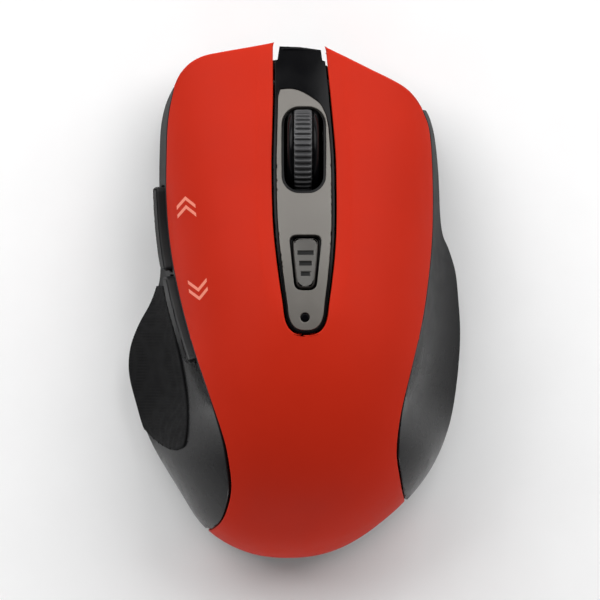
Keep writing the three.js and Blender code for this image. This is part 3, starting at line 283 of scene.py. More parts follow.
def resample(outline, step):
    """The same closed outline, with points no further apart than the step."""
    outline = np.asarray(outline, float)
    found = []
    for a, b in zip(outline, np.roll(outline, -1, 0)):
        count = max(1, math.ceil(np.linalg.norm(b - a) / step - 1e-6))
        found += [a + (b - a) * k / count for k in range(count)]
    return np.array(found)


ROW_SHARE, CLEAR_SHARE = 0.87, 0.55  # of the spacing: between rows, and between the grid and the border


def fill(outer, holes=(), spacing=0.6):
    """A flat mesh of the region inside one outline and outside the others: points and triangles."""
    loops = [resample(loop, spacing) for loop in (outer, *holes)]
    border = np.vstack(loops)
    edges, start = [], 0
    for loop in loops:
        edges += [(start + k, start + (k + 1) % len(loop)) for k in range(len(loop))]
        start += len(loop)
    low, high = border.min(0), border.max(0)
    rows = np.arange(low[1], high[1], spacing * ROW_SHARE)
    columns = np.arange(low[0], high[0], spacing)
    grid = np.array([(x + (j % 2) * spacing / 2, y) for j, y in enumerate(rows) for x in columns])
    grid = grid[inside(grid, loops)]
    gap = np.sqrt(((grid[:, None] - border[None]) ** 2).sum(-1)).min(1)
    points = np.vstack([border, grid[gap > spacing * CLEAR_SHARE]])
    verts, _, faces, *_ = delaunay_2d_cdt([Vector(p) for p in points], edges, [], 0, 1e-7)
    flat = np.array([tuple(v) for v in verts])
    faces = np.array(faces)
    faces = faces[inside(flat[faces].mean(1), loops)]
    a, b, c = (flat[faces[:, k]] for k in range(3))
    turned = (b[:, 0] - a[:, 0]) * (c[:, 1] - a[:, 1]) < (b[:, 1] - a[:, 1]) * (c[:, 0] - a[:, 0])
    faces[turned] = faces[turned][:, ::-1]
    return flat, faces.tolist()


def unit(vectors):
    return vectors / np.maximum(np.linalg.norm(vectors, axis=-1, keepdims=True), 1e-9)


class Soup:
    """Faces with a normal at each corner, gathered before they become one mesh."""

    def __init__(self):
        self.points, self.faces, self.normals, self.slots = [], [], [], []

    def add_points(self, points):
        first = len(self.points)
        self.points += [tuple(p) for p in points]
        return np.arange(first, first + len(points))

    def add_faces(self, faces, normals, slot=0):
        """normals maps a point's index to its normal in these faces."""
        for face in faces:
            self.faces.append(tuple(int(i) for i in face))
            self.normals.append([normals[int(i)] for i in face])
            self.slots.append(slot)

    def band(self, upper, lower, upper_normals, lower_normals):
        """A strip of faces between two closed rings of points."""
        count = len(upper)
        for k in range(count):
            n = (k + 1) % count
            self.faces.append((int(upper[n]), int(upper[k]), int(lower[k]), int(lower[n])))
            self.normals.append([upper_normals[n], upper_normals[k], lower_normals[k], lower_normals[n]])
            self.slots.append(0)

    def build(self, name, *materials):
        mesh = bpy.data.meshes.new(name)
        mesh.from_pydata([tuple(MM * c for c in p) for p in self.points], [], self.faces)
        mesh.polygons.foreach_set("material_index", self.slots)
        mesh.polygons.foreach_set("use_smooth", [True] * len(self.faces))
        for material in materials:
            mesh.materials.append(material)
        mesh.normals_split_custom_set([tuple(n) for face in self.normals for n in face])
        mesh.update()
        piece = bpy.data.objects.new(name, mesh)
        bpy.context.scene.collection.objects.link(piece)
        return piece


def border_rings(faces):
    """Closed rings of border points, each in the order in which the faces' corners run."""
    onward = {}
    for face in faces:
        for a, b in zip(face, list(face[1:]) + [face[0]]):
            onward[(a, b)] = True
    follow = {a: b for (a, b) in onward if (b, a) not in onward}
    rings = []
    while follow:
        start, at = next(iter(follow.items()))
        ring = [start]
        del follow[start]
        while at != start:
            ring.append(at)
            at = follow.pop(at)
        rings.append(ring)
    return rings


SKIRT_WALL = 1.3


def shell(soup, points, normals, faces, thickness, radius=0.3, skirt=None, steps=4, face_slots=None):
    """A closed slab under an open surface, with its upper edges rounded.

    radius is a number, or a function of the border's points. skirt, if given, is a function of the
    border's points, their normals and the thickness. It says how far each one runs down, and which way.
    face_slots gives each upper face's material, where the piece has more than one.
    """
    points = np.array(points, float)
    normals = unit(np.array(normals, float))
    rings = border_rings(faces)
    below = points - thickness * normals
    outer, edges = points.copy(), []
    for ring in rings:
        at, n = points[ring], normals[ring]
        ahead, behind = np.roll(at, -1, 0) - at, at - np.roll(at, 1, 0)
        out_a, out_b = unit(np.cross(ahead, n)), unit(np.cross(behind, n))
        out = unit(out_a + out_b)
        miter = 1 / np.clip((out * out_a).sum(-1), 0.6, 1)
        size = radius(at) if callable(radius) else np.full(len(ring), float(radius))
        size, miter = size[:, None], miter[:, None]
        if skirt is None:
            drop, direction = np.maximum(thickness - size, 0), -n
        else:
            drop, direction = skirt(at, n, thickness)
        turned = np.arccos(np.clip((out * direction).sum(-1), -1, 1))[:, None]
        outer[ring] = at - size * miter * np.tan(turned / 2) * out
        edges.append((ring, n, out, size, miter, direction, drop, turned))
    top = soup.add_points(outer)
    lookup = dict(zip(top.tolist(), normals))
    moved = [[int(top[i]) for i in face] for face in faces]
    for k, face in enumerate(moved):
        soup.add_faces([face], lookup, 0 if face_slots is None else face_slots[k])
    under = soup.add_points(below)
    for ring, n, out, size, miter, direction, drop, turned in edges:
        base = outer[ring]
        last, last_normals = top[ring], n
        for k in range(1, steps + 1):
            turn = turned * k / steps
            edge = base + size * (miter * np.sin(turn) * out - (1 - np.cos(turn)) * n)
            edge_normals = np.sin(turn) * out + np.cos(turn) * n
            added = soup.add_points(edge)
            soup.band(last, added, last_normals, edge_normals)
            last, last_normals = added, edge_normals
        foot = edge + drop * direction
        inner = foot - SKIRT_WALL * out if skirt is not None else foot
        for k, i in enumerate(under[ring]):
            soup.points[i] = tuple(inner[k] - (drop[k] - thickness + size[k, 0]) * direction[k])
        if skirt is None:
            soup.band(last, under[ring], edge_normals, edge_normals)
            continue
        foot_outer, foot_inner = soup.add_points(foot), soup.add_points(inner)
        soup.band(last, foot_outer, edge_normals, edge_normals)
        soup.band(foot_outer, foot_inner, direction, direction)
        soup.band(foot_inner, under[ring], -edge_normals, -edge_normals)
    lookup = {int(i): -normal for i, normal in zip(under, normals)}
    soup.add_faces([[int(under[i]) for i in face][::-1] for face in faces], lookup)


def mapped_shell(name, material, surface, outer, holes=(), spacing=0.6, thickness=1.6, radius=0.3, outward=1,
                 **options):
    """A slab over a region of a surface that is given as a function of two numbers."""
    flat, faces = fill(outer, holes, spacing)
    if outward < 0:
        faces = [face[::-1] for face in faces]
    soup = Soup()
    normals = numeric_normals(surface, flat[:, 0], flat[:, 1], outward)
    shell(soup, surface(flat[:, 0], flat[:, 1]), normals, faces, thickness, radius, **options)
    return soup.build(name, material)


def rounded_rectangle(x, y, radius, steps=6):
    """x and y are (low, high) pairs."""
    left, right = x[0] + radius, x[1] - radius
    rear, front = y[0] + radius, y[1] - radius
    found = []
    for k, (cx, cy) in enumerate([(right, front), (left, front), (left, rear), (right, rear)]):
        for j in range(steps + 1):
            angle = (math.pi / 2) * (k + j / steps)
            found.append((cx + radius * math.cos(angle), cy + radius * math.sin(angle)))
    return np.array(found)


def circle(x, y, radius, count=40):
    turn = np.arange(count) * 2 * math.pi / count
    return np.stack([x + radius * np.cos(turn), y + radius * np.sin(turn)], -1)


# ------------------------------------------------------------------ materials
class Nodes:
    """A material's node tree, with short calls for the nodes that the finishes share."""

    def __init__(self, name):
        self.material = bpy.data.materials.new(name)
        self.material.use_nodes = True
        self.tree = self.material.node_tree
        self.shader = next(n for n in self.tree.nodes if n.type == "BSDF_PRINCIPLED")
        self.place = self.tree.nodes.new("ShaderNodeTexCoord").outputs["Object"]

    def link(self, a, b):
        self.tree.links.new(a, b)

    def noise(self, scale, detail=3.0, roughness=0.5):
        node = self.tree.nodes.new("ShaderNodeTexNoise")
        node.inputs["Scale"].default_value = scale
        node.inputs["Detail"].default_value = detail
        node.inputs["Roughness"].default_value = roughness
        self.link(self.place, node.inputs["Vector"])
        return node.outputs["Fac"]

    def spread(self, value, low, high, start=0.3, end=0.7):
        node = self.tree.nodes.new("ShaderNodeMapRange")
        for key, number in (("From Min", start), ("From Max", end), ("To Min", low), ("To Max", high)):
            node.inputs[key].default_value = number
        self.link(value, node.inputs["Value"])
        return node.outputs["Result"]

    def math(self, kind, a, b=None):
        node = self.tree.nodes.new("ShaderNodeMath")
        node.operation = kind
        for socket, value in zip(node.inputs, (a, b)):
            if value is None:
                continue
            if isinstance(value, (int, float)):
                socket.default_value = value
            else:
                self.link(value, socket)
        return node.outputs[0]

    def mix(self, factor, a, b):
        node = self.tree.nodes.new("ShaderNodeMix")
        node.data_type = "RGBA"
        self.link(factor, node.inputs[0])
        for socket, colour in ((node.inputs[6], a), (node.inputs[7], b)):
            if isinstance(colour, tuple):
                socket.default_value = (*colour, 1)
            else:
                self.link(colour, socket)
        return node.outputs[2]

    def bump(self, height, strength, distance=0.0001):
        node = self.tree.nodes.new("ShaderNodeBump")
        node.inputs["Strength"].default_value = strength
        node.inputs["Distance"].default_value = distance
        self.link(height, node.inputs["Height"])
        self.link(node.outputs["Normal"], self.shader.inputs["Normal"])

    def axis(self, letter):
        node = self.tree.nodes.new("ShaderNodeSeparateXYZ")
        self.link(self.place, node.inputs[0])
        return node.outputs[letter]


PATCH_SCALE, GLOSS_SCALE = 70.0, 280.0  # of the noise that varies the tone, and the gloss
COAT_ROUGHNESS = 0.08


def finish(name, colour, roughness, spread=0.04, metallic=0.0, coat=0.0, grain=900.0, grain_strength=0.06,
           tint=0.06, specular=0.5):
    """A moulded, painted or plated surface: fine grain, uneven gloss and a slight change of tone."""
    nodes = Nodes(name)
    shader = nodes.shader
    shader.inputs["Metallic"].default_value = metallic
    shader.inputs["Coat Weight"].default_value = coat
    shader.inputs["Coat Roughness"].default_value = COAT_ROUGHNESS
    shader.inputs["Specular IOR Level"].default_value = specular
    shader.inputs["IOR"].default_value = 1.5
    darker = tuple(c * (1 - tint) for c in colour)
    lighter = tuple(min(1.0, c * (1 + tint)) for c in colour)
    patches = nodes.spread(nodes.noise(PATCH_SCALE), 0, 1)
    nodes.link(nodes.mix(patches, darker, lighter), shader.inputs["Base Color"])
    gloss = nodes.spread(nodes.noise(GLOSS_SCALE), roughness - spread, roughness + spread)
    nodes.link(gloss, shader.inputs["Roughness"])
    nodes.bump(nodes.noise(grain, 2.0), grain_strength)
    return nodes.material


def rubber_grid(name, colour, pitch):
    """Matt rubber with a fine moulded grid, its grooves painted darker as shade."""
    nodes = Nodes(name)
    nodes.shader.inputs["Specular IOR Level"].default_value = 0.12
    turns = 2 * math.pi / (pitch * MM)
    along = nodes.math("SINE", nodes.math("MULTIPLY", nodes.axis("Y"), turns))
    slant = nodes.math("SUBTRACT", nodes.axis("Z"), nodes.axis("X"))
    up = nodes.math("SINE", nodes.math("MULTIPLY", slant, turns * 0.72))
    ridge = nodes.math("MAXIMUM", along, up)
    height = nodes.spread(ridge, 0, 1, -0.2, 1)
    # painted shade: the colour is darker in the grid's grooves and full at its ridges
    painted_groove_shade = tuple(c * 0.6 for c in colour)
    nodes.link(nodes.mix(height, painted_groove_shade, colour), nodes.shader.inputs["Base Color"])
    nodes.link(nodes.spread(nodes.noise(600), 0.62, 0.8), nodes.shader.inputs["Roughness"])
    nodes.bump(height, 0.3, 0.0001)
    return nodes.material


def satin_side(name, colour, rear, front):
    """Satin black that turns duller from the rear to the front, each a roughness."""
    nodes = Nodes(name)
    nodes.shader.inputs["IOR"].default_value = 1.3
    duller = nodes.spread(nodes.axis("Y"), rear, front, -12 * MM, 12 * MM)
    uneven = nodes.spread(nodes.noise(GLOSS_SCALE), -0.04, 0.04)
    nodes.link(nodes.math("ADD", duller, uneven), nodes.shader.inputs["Roughness"])
    darker = tuple(c * 0.9 for c in colour)
    patches = nodes.spread(nodes.noise(PATCH_SCALE), 0, 1)
    nodes.link(nodes.mix(patches, darker, colour), nodes.shader.inputs["Base Color"])
    nodes.bump(nodes.noise(1500, 2.0), 0.03)
    return nodes.material


def clear(name):
    """Moulded clear plastic, with a faint cool tone."""
    nodes = Nodes(name)
    nodes.shader.inputs["Transmission Weight"].default_value = 0.9
    tone = nodes.mix(nodes.noise(300), (0.8, 0.86, 0.88), (0.9, 0.94, 0.95))
    nodes.link(tone, nodes.shader.inputs["Base Color"])
    nodes.link(nodes.spread(nodes.noise(500), 0.04, 0.12), nodes.shader.inputs["Roughness"])
    return nodes.material


LANE_TURN = 5200  # radians per metre: how close together the tracks lie


def circuit(name):
    """Green solder mask with faint copper tracks under it."""
    nodes = Nodes(name)
    slant = nodes.math("ADD", nodes.axis("X"), nodes.axis("Y"))
    lane = nodes.math("SINE", nodes.math("MULTIPLY", slant, LANE_TURN))
    track = nodes.spread(lane, 0, 1, 0.55, 0.75)
    broken = nodes.math("MULTIPLY", track, nodes.spread(nodes.noise(220, 0), 0, 1, 0.48, 0.55))
    mask, copper = (0.008, 0.075, 0.03), (0.03, 0.17, 0.06)
    nodes.link(nodes.mix(broken, mask, copper), nodes.shader.inputs["Base Color"])
    nodes.link(nodes.spread(nodes.noise(400), 0.3, 0.45), nodes.shader.inputs["Roughness"])
    nodes.bump(broken, 0.4)
    return nodes.material


FINISHES = {
    "red_cover": finish(
        "red_lacquer", (0.45, 0.0195, 0.0065), 0.5, 0.03, grain=2600, grain_strength=0.05, tint=0.03,
        specular=0.05),
    "gloss_black": finish(
        "piano_black", (0.002, 0.002, 0.0025), 0.16, 0.03, specular=0.1, grain=300, grain_strength=0.01),
    "grey_trim": finish(
        "grey_metallic_paint", (0.125, 0.116, 0.104), 0.4, 0.04, metallic=0.25, grain=3200,
        grain_strength=0.1, tint=0.05),
    "side_black": satin_side("satin_black", (0.01, 0.01, 0.0105), 0.27, 0.62),
    "rubber": finish("wheel_rubber", (0.042, 0.042, 0.044), 0.45, 0.06, grain=1800, grain_strength=0.2),
    "matt_black": finish(
        "grained_black", (0.012, 0.012, 0.013), 0.55, 0.06, grain=2200, grain_strength=0.3),
    "carrier_grey": finish("plain_grey", (0.11, 0.11, 0.11), 0.5, 0.05, grain_strength=0.1),
    "foot_glide": finish("glide_film", (0.03, 0.03, 0.032), 0.3, 0.06, grain=1200),
    "circuit": circuit("solder_mask"),
    "steel": finish(
        "plated_steel", (0.6, 0.6, 0.61), 0.28, 0.08, metallic=1.0, grain=1500, grain_strength=0.08),
    "cell_jacket": finish(
        "cell_sleeve", (0.05, 0.16, 0.4), 0.32, 0.05, coat=0.3, grain=500, grain_strength=0.03),
    "clear_plastic": clear("clear_optic"),
    "stem_white": finish("white_moulding", (0.78, 0.77, 0.73), 0.45, 0.05, grain_strength=0.08),
    "can_blue": finish("can_sleeve", (0.05, 0.14, 0.36), 0.35, 0.05, grain=600, grain_strength=0.04),
    "ribbon_grey": finish("ribbon_sheath", (0.5, 0.5, 0.52), 0.5, 0.05, grain_strength=0.1),
}
PAD_RUBBER = rubber_grid("grip_rubber", (0.008, 0.008, 0.0085), 0.6)
PRINT = finish("salmon_print", (0.78, 0.22, 0.14), 0.5, 0.04, grain=2600, grain_strength=0.05)
KEY_GREY = finish(
    "grey_key_paint", (0.075, 0.071, 0.065), 0.38, 0.04, metallic=0.25, grain=3200, grain_strength=0.1)
ENGRAVED = finish(
    "engraved_mark", (0.006, 0.006, 0.006), 0.6, 0.05, grain=1500, grain_strength=0.1, specular=0.2)

for part in frame["record"]["subparts"]:
    node = frame["nodes"][part["node"]]
    node.data.materials.clear()
    node.data.materials.append(FINISHES[part["material_slot"]])


def settle(piece, slot, body="base", *replaced):
    """Attaches a piece to the body it rides on, if one is given, and hides the CAD nodes it stands for; slot
    is not used.
    """
    if body is not None:
        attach(piece, body)
    if replaced:
        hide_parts(*replaced)
    return piece


# ------------------------------------------------------------------ red cover
SEAM_Y = -7.6  # the palm and the two keys are one moulding, split here where nothing bends
COVER_WALL = 1.9
EDGE_ROUND, NOSE_ROUND = 0.3, 0.9
NOSE_REACH, NOSE_FROM_Y = 0.4, 36  # an edge this near the front curve, and ahead of this place, is the nose
KEY_COLUMNS = 44
KEY_SKIRT_Z = 8.0


def palm():
    """The rear of the cover, meshed over its angle across the mouse and its way round the tail."""
    reach = TAIL_START - TAIL_Y
    across, along = 30.0, 40.0  # one radian of each, in millimetres, for meshing

    def place_y(v):
        return TAIL_START - reach * np.sin(v / along)

    def place_v(y):
        return along * np.arcsin((TAIL_START - y) / reach)

    def surface(u, v):
        return arch_point(place_y(v), u / across)

    end = place_v(TAIL_Y + 0.01)
    outline = []
    for side, tip in ((-1, LEFT_TIP_Y), (1, RIGHT_TIP_Y)):
        v = np.linspace(place_v(SEAM_Y), place_v(tip + 0.01), 60)
        edge = np.stack([side * across * cover_angle(place_y(v), side), v], -1)
        rim = np.array([(side * across * math.pi / 2, place_v(tip)), (side * across * math.pi / 2, end)])
        outline.append(np.vstack([edge, rim]))
    flat, faces = fill(np.vstack([outline[1], outline[0][::-1]]), spacing=0.75)
    steepest = across * (math.pi / 2 - 0.03)  # the arch turns straight down at 90 degrees
    u, v = np.clip(flat[:, 0], -steepest, steepest), np.minimum(flat[:, 1], end - 0.5)
    normals = numeric_normals(surface, u, v, -1)
    soup = Soup()

    def radius(at):
        return np.where(at[:, 1] > SEAM_Y - 0.01, 0.0, EDGE_ROUND)

    shell(soup, surface(flat[:, 0], flat[:, 1]), normals, [f[::-1] for f in faces], COVER_WALL, radius)
    piece = soup.build("cover_palm", FINISHES["red_cover"])
    settle(piece, "red_cover", "base", "top_cover")


def key_half(side):
    """One main key and its half of the cover, from the seam to the front edge, with the skirt at its nose."""
    front = front_left if side < 0 else front_right
    share = np.linspace(0, 1, KEY_COLUMNS)

    def place_x(y, s):
        outer = side * cover_angle(y, side)
        edge = channel_edge(y, side)
        inner = np.arcsin(np.clip((edge - spine(y)) / half_width(y, np.sign(edge - spine(y))), -1, 1))
        return arch_point(y, lerp(outer, inner, s))[..., 0]

    low, high = np.full(KEY_COLUMNS, 30.0), np.full(KEY_COLUMNS, 53.0)
    for _ in range(40):
        middle = (low + high) / 2
        beyond = front(place_x(middle, share)) < middle
        low, high = np.where(beyond, low, middle), np.where(beyond, middle, high)
    tip = CHANNEL_TURN - (CHANNEL_TURN - CHANNEL_END) * np.sin(np.linspace(math.pi / 2, 0, 14))
    rows = np.concatenate([[SEAM_Y, -7.2], tip, np.arange(-0.2, 20, 0.7)])
    ahead = np.linspace(0, 1, 46)[1:, None]
    y = np.vstack([np.repeat(rows[:, None], KEY_COLUMNS, 1), lerp(rows[-1], low[None, :], ahead)])
    x = place_x(y, share[None, :])
    z = cover_z(x, y)
    step = 0.01
    slope_x = (cover_z(x + step, y) - cover_z(x - step, y)) / (2 * step)
    slope_y = (cover_z(x, y + step) - cover_z(x, y - step)) / (2 * step)
    normals = unit(np.stack([-slope_x, -slope_y, np.ones_like(z)], -1)).reshape(-1, 3)
    points = np.stack([x, y, z], -1).reshape(-1, 3)
    faces = grid_faces(len(y), KEY_COLUMNS)
    if side > 0:
        faces = [face[::-1] for face in faces]

    def nose(at):
        from_front = np.abs(front(at[:, 0]) - at[:, 1])
        return smooth(1 - from_front / NOSE_REACH) * (at[:, 1] > NOSE_FROM_Y)

    def radius(at):
        plain = np.where(at[:, 1] < SEAM_Y + 0.01, 0.0, EDGE_ROUND)
        from_middle = np.abs(at[:, 0] - channel_middle(at[:, 1]))
        meets_other_key = (at[:, 1] < CHANNEL_END) & (from_middle < 0.5)
        return np.where(meets_other_key, 0.0, lerp(plain, NOSE_ROUND, nose(at)))

    def skirt(at, n, thickness):
        share = nose(at)[:, None]
        down = np.array([0, 0, -1.0])
        direction = unit(lerp(-n, down, share))
        return lerp(thickness, np.maximum(at[:, 2:] - KEY_SKIRT_Z - 1, thickness), share), direction

    soup = Soup()
    shell(soup, points, normals, faces, COVER_WALL, radius, skirt)
    name, body = ("left", "left_key") if side < 0 else ("right", "right_key")
    piece = soup.build(f"cover_{name}_key", FINISHES["red_cover"])
    settle(piece, "red_cover", None, f"{name}_button")
    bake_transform(piece)


def chevron(name, centre, degrees):
    """Two printed arrow heads, one behind the other."""
    half, rise, stroke = 1.9, 1.8, 0.75
    first_tip, pitch, print_height = 1.9, 1.75, 0.03
    turn = math.radians(degrees)
    across, ahead = math.cos(turn), math.sin(turn)

    def surface(x, y):
        return np.stack([x, y, cover_z(x, y) + print_height], -1)

    for k in range(2):
        tip = first_tip - k * pitch
        arm, arm_foot = tip - rise, tip - rise - stroke
        shape = [(-half, arm), (0, tip), (half, arm), (half, arm_foot), (0, tip - stroke), (-half, arm_foot)]
        turned = [(centre[0] + x * across - y * ahead, centre[1] + x * ahead + y * across) for x, y in shape]
        piece = mapped_shell(f"{name}_{k}", PRINT, surface, turned[::-1], spacing=0.4, thickness=0.05,
                             radius=0.01, steps=1)
        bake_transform(piece)


# ------------------------------------------------------------------ centre strip
def strip_surface(depth):
    return lambda x, y: np.stack([x, y, arch_z(x, y) - depth], -1)


def channel_outline(inset, front):
    """The channel's edge, round its rear end, and straight across at the front."""
    turn = np.linspace(math.pi / 2, 0, 16)[:-1]
    rear = CHANNEL_TURN - (CHANNEL_TURN - CHANNEL_END - inset) * np.sin(turn)
    y = np.concatenate([rear, np.arange(CHANNEL_TURN, front - 0.5, 1.5), [front]])
    right = np.stack([channel_edge(y, 1, inset), y], -1)
    left = np.stack([channel_edge(y, -1, inset), y], -1)[1:]
    return np.vstack([right, left[::-1]])


TRIM_WAVE = curve(
    (-4, 42.3), (-2.9, 42.5), (-0.6, 42.6), (1.4, 42), (3.6, 40.7), (5.2, 39.4), (6, 37.8),
    (6.8, 35.8))


def trim_outline(grow):
    """The trim follows the channel's edge, and ends in a slanting wave ahead of the wheel."""
    edge = channel_outline(0.95 - grow, 43)
    below = edge[:, 1] < TRIM_WAVE(edge[:, 0]) + grow
    rear = np.argmax(~below)
    after = len(below) - np.argmax(~below[::-1])
    x = np.linspace(edge[rear - 1, 0], edge[after, 0], 24)[1:-1]
    wave = np.stack([x, TRIM_WAVE(x) + grow], -1)
    return np.vstack([edge[:rear], wave, edge[after:]])


def wheel_slot(grow):
    return rounded_rectangle((-2.7 - grow, 6.2 + grow), (21.6 - grow, 39 + grow), 3.5 + grow, 10)


DPI_X, DPI_Y = 2.1, 7.6


def dpi_outline(grow):
    corners = [(2.6, 4.9), (-2.6, 4.9), (-1.7, -4.9), (1.7, -4.9)]
    found = []
    for k, corner in enumerate(corners):
        p = np.array(corner)
        before = p + unit(np.array(corners[k - 1]) - p) * 1.3
        after = p + unit(np.array(corners[(k + 1) % 4]) - p) * 1.3
        for t in np.linspace(0, 1, 7):
            found.append(before * (1 - t) ** 2 + p * 2 * t * (1 - t) + after * t ** 2)
    found = np.array(found) * np.array([1 + grow / 2.3, 1 + grow / 4.9])
    return found + np.array([DPI_X, DPI_Y])


INDICATOR = (2.0, -3.4)
FRAME_DEPTH, TRIM_DEPTH, BED_DEPTH, LENS_DEPTH = 1.0, 0.82, 1.9, 0.95  # below the arch
NOSE_FRONT_Y = 51.05


def nose_surface(x, z):
    """The strip's front wall: slightly bowed, and slanting back to the right."""
    bow = 0.22 * (x - 1) ** 2 / 18
    slant = 0.06 * (x + 3)
    return np.stack([x, NOSE_FRONT_Y - bow - slant, z], -1)


def centre_strip():
    """Gloss frame, the bed under the trim, the grey trim, the indicator's lens and the front wall."""
    outline = channel_outline(0.3, 48.2)
    count = len(outline) // 2 + 1
    nose = np.array([(5.5, 48.4), (5.2, 50.5), (1.0, 51.1), (-3.15, 51.25), (-3.55, 48.6)])
    outline = np.vstack([outline[:count], nose, outline[count:]])
    gloss = FINISHES["gloss_black"]
    piece = mapped_shell("strip_frame", gloss, strip_surface(FRAME_DEPTH), outline,
                         [trim_outline(0.12)[::-1]], spacing=0.45, thickness=2.4, radius=0.12)
    settle(piece, "gloss_black", "base", "centre_bezel")
    bed = mapped_shell("strip_bed", gloss, strip_surface(BED_DEPTH), trim_outline(-0.15),
                       [wheel_slot(-0.55)[::-1], dpi_outline(0.16)[::-1], circle(*INDICATOR, 1.0)[::-1]],
                       spacing=0.6, thickness=2.0, radius=0.15)
    settle(bed, "gloss_black")
    trim = mapped_shell("trim_skin", FINISHES["grey_trim"], strip_surface(TRIM_DEPTH), trim_outline(0),
                        [wheel_slot(0)[::-1], dpi_outline(0.65)[::-1], circle(*INDICATOR, 0.95)[::-1]],
                        spacing=0.5, thickness=1.0, radius=0.16)
    settle(trim, "grey_trim", "base", "trim_plate")
    pipe = mapped_shell("indicator_lens", gloss, strip_surface(LENS_DEPTH), circle(*INDICATOR, 0.8),
                        spacing=0.2, thickness=4.5, radius=0.2)
    settle(pipe, "matt_black", "base", "light_pipe")
    nose_wall = mapped_shell("nose_wall", gloss, nose_surface,
                             rounded_rectangle((-3.0, 4.9), (8.2, 15.2), 0.6), spacing=0.8, outward=-1)
    settle(nose_wall, "gloss_black")


def dpi_key():
    """A tapered key with a shallow dish and three engraved bars of growing length."""
    bars = [(-2.3, 0.95), (-0.2, 1.25), (1.9, 1.6)]
    bar_half = 0.42

    def engraved(x, y):
        depth = 0
        for at, half in bars:
            near = np.maximum(np.abs(x - DPI_X) - half, np.abs(y - DPI_Y - at) - bar_half)
            depth = depth + smooth(0.5 - near / 0.24)
        return depth

    def surface(x, y):
        dish = 0.22 * (1 - ((x - DPI_X) / 2.6) ** 2) * (1 - ((y - DPI_Y) / 5) ** 2)
        return np.stack([x, y, arch_z(x, y) - 0.5 - dish - 0.24 * engraved(x, y)], -1)

    flat, faces = fill(dpi_outline(0), spacing=0.17)
    soup = Soup()
    middle = flat[np.array(faces)].mean(1)
    slots = (engraved(middle[:, 0], middle[:, 1]) > 0.75).astype(int)
    normals = numeric_normals(surface, flat[:, 0], flat[:, 1])
    shell(soup, surface(flat[:, 0], flat[:, 1]), normals, faces, 3.6, 0.4, face_slots=slots)
    piece = soup.build("dpi_cap", KEY_GREY, ENGRAVED)
    settle(piece, "grey_trim", "dpi_key", "dpi_button")


# ------------------------------------------------------------------ wheel
TYRE_HALF, RIB_COUNT, SIDES_PER_RIB = 1.85, 46, 12


def wheel():
    """The ribbed tyre and the glossy core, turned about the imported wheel's own middle."""
    low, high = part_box("wheel_tyre")
    x, y, z = ((a + b) / 2 / MM for a, b in zip(low, high))
    radius = (high[2] - low[2]) / 2 / MM

    def ring(name, profile, material, sides, ribs=0):
        """profile runs round a closed section as (distance from the middle, radius, how far ribs cut in)."""
        section = np.array(profile, float)
        turn = np.arange(sides) * 2 * math.pi / sides
        rib = 0 * turn if not ribs else smooth(0.5 + 0.9 * np.cos(ribs * turn)) - 1
        r = section[None, :, 1] + section[None, :, 2] * rib[:, None]
        ahead, up = r * np.cos(turn)[:, None], r * np.sin(turn)[:, None]
        points = np.stack([x + section[None, :, 0] + 0 * r, y + ahead, z + up], -1)
        count = len(section)
        du = np.roll(points, -1, 0) - np.roll(points, 1, 0)
        dv = np.roll(points, -1, 1) - np.roll(points, 1, 1)
        normals = unit(np.cross(du, dv)).reshape(-1, 3)
        i = np.arange(sides)[:, None] * count + np.arange(count)[None, :]
        onward = np.roll(i, -1, 0)
        faces = np.stack([i, onward, np.roll(onward, -1, 1), np.roll(i, -1, 1)], -1).reshape(-1, 4)
        soup = Soup()
        soup.add_points(points.reshape(-1, 3))
        soup.add_faces(faces.tolist(), normals)
        return soup.build(name, material)

    half = TYRE_HALF
    tyre = [(-half, 7.4, 0), (-half, 8.5, 0), (-half + 0.12, 8.74, 0.05), (-half + 0.4, radius - 0.1, 0.3)]
    tyre += [(d, radius, 0.45) for d in np.linspace(-half + 0.75, half - 0.75, 7)]
    tyre += [(half - 0.4, radius - 0.1, 0.3), (half - 0.12, 8.74, 0.05), (half, 8.5, 0), (half, 7.4, 0)]
    piece = ring("tyre_band", tyre, FINISHES["rubber"], RIB_COUNT * SIDES_PER_RIB, RIB_COUNT)
    settle(piece, "rubber", "wheel", "wheel_tyre")
    arc = np.linspace(0, math.pi / 2, 8)
    flank = [(2.06 + 1.15 * math.sin(a), 7.45 + 1.3 * math.cos(a)) for a in arc]
    axle = [(3.21, 6.0), (2.6, 5.4), (2.6, 2.2), (3.2, 1.8), (3.6, 1.1), (4.9, 1.1), (4.9, 0.3)]
    right = [(2.06, 7.2)] + flank + axle
    hub = [(d, r, 0) for d, r in right] + [(-d, r, 0) for d, r in right[::-1]]
    piece = ring("wheel_core", hub, FINISHES["gloss_black"], 160)
    settle(piece, "gloss_black", "wheel", "wheel_hub")


# ------------------------------------------------------------------ side panels, grip and thumb buttons
FORWARD, BACK = (6.1, 22.9), (-12.3, 4.9)
THUMB_DROPS, THUMB_CORNER = (1.9, 6.6), 1.0
THUMB_LIFT, PAD_LIFT = 1.7, 0.45  # how far they stand off the wall
PANEL_GAP = 0.42  # below the cover's edge
PANEL_ENDS = {LEFT: 43.1, RIGHT: 38.5}
PAD_FRONT = 2.9
WALL_SCALE = 26.0  # one unit of wall share, in millimetres, for meshing


def wall_surface(side, lift=0.0):
    """A side wall, or a surface that stands off it, as a function of place along and scaled share."""
    def on_wall(y, v):
        return wall_point(y, v / WALL_SCALE, side)

    def surface(y, v):
        point = on_wall(y, v)
        if lift == 0:
            return point
        return point + lift * numeric_normals(on_wall, y, v, -side)

    return surface


def wall_outline(side, tip, end, top_gap):
    closing = tip + 0.35 + 6 * np.linspace(0, 1, 16) ** 2
    y = np.concatenate([closing, np.arange(tip + 7.5, end - 0.6, 1.2), [end]])
    top = np.stack([y, WALL_SCALE * share_at_drop(y, side, top_gap)], -1)
    foot = np.stack([y, np.full_like(y, WALL_SCALE)], -1)
    return np.vstack([foot, top[::-1]])


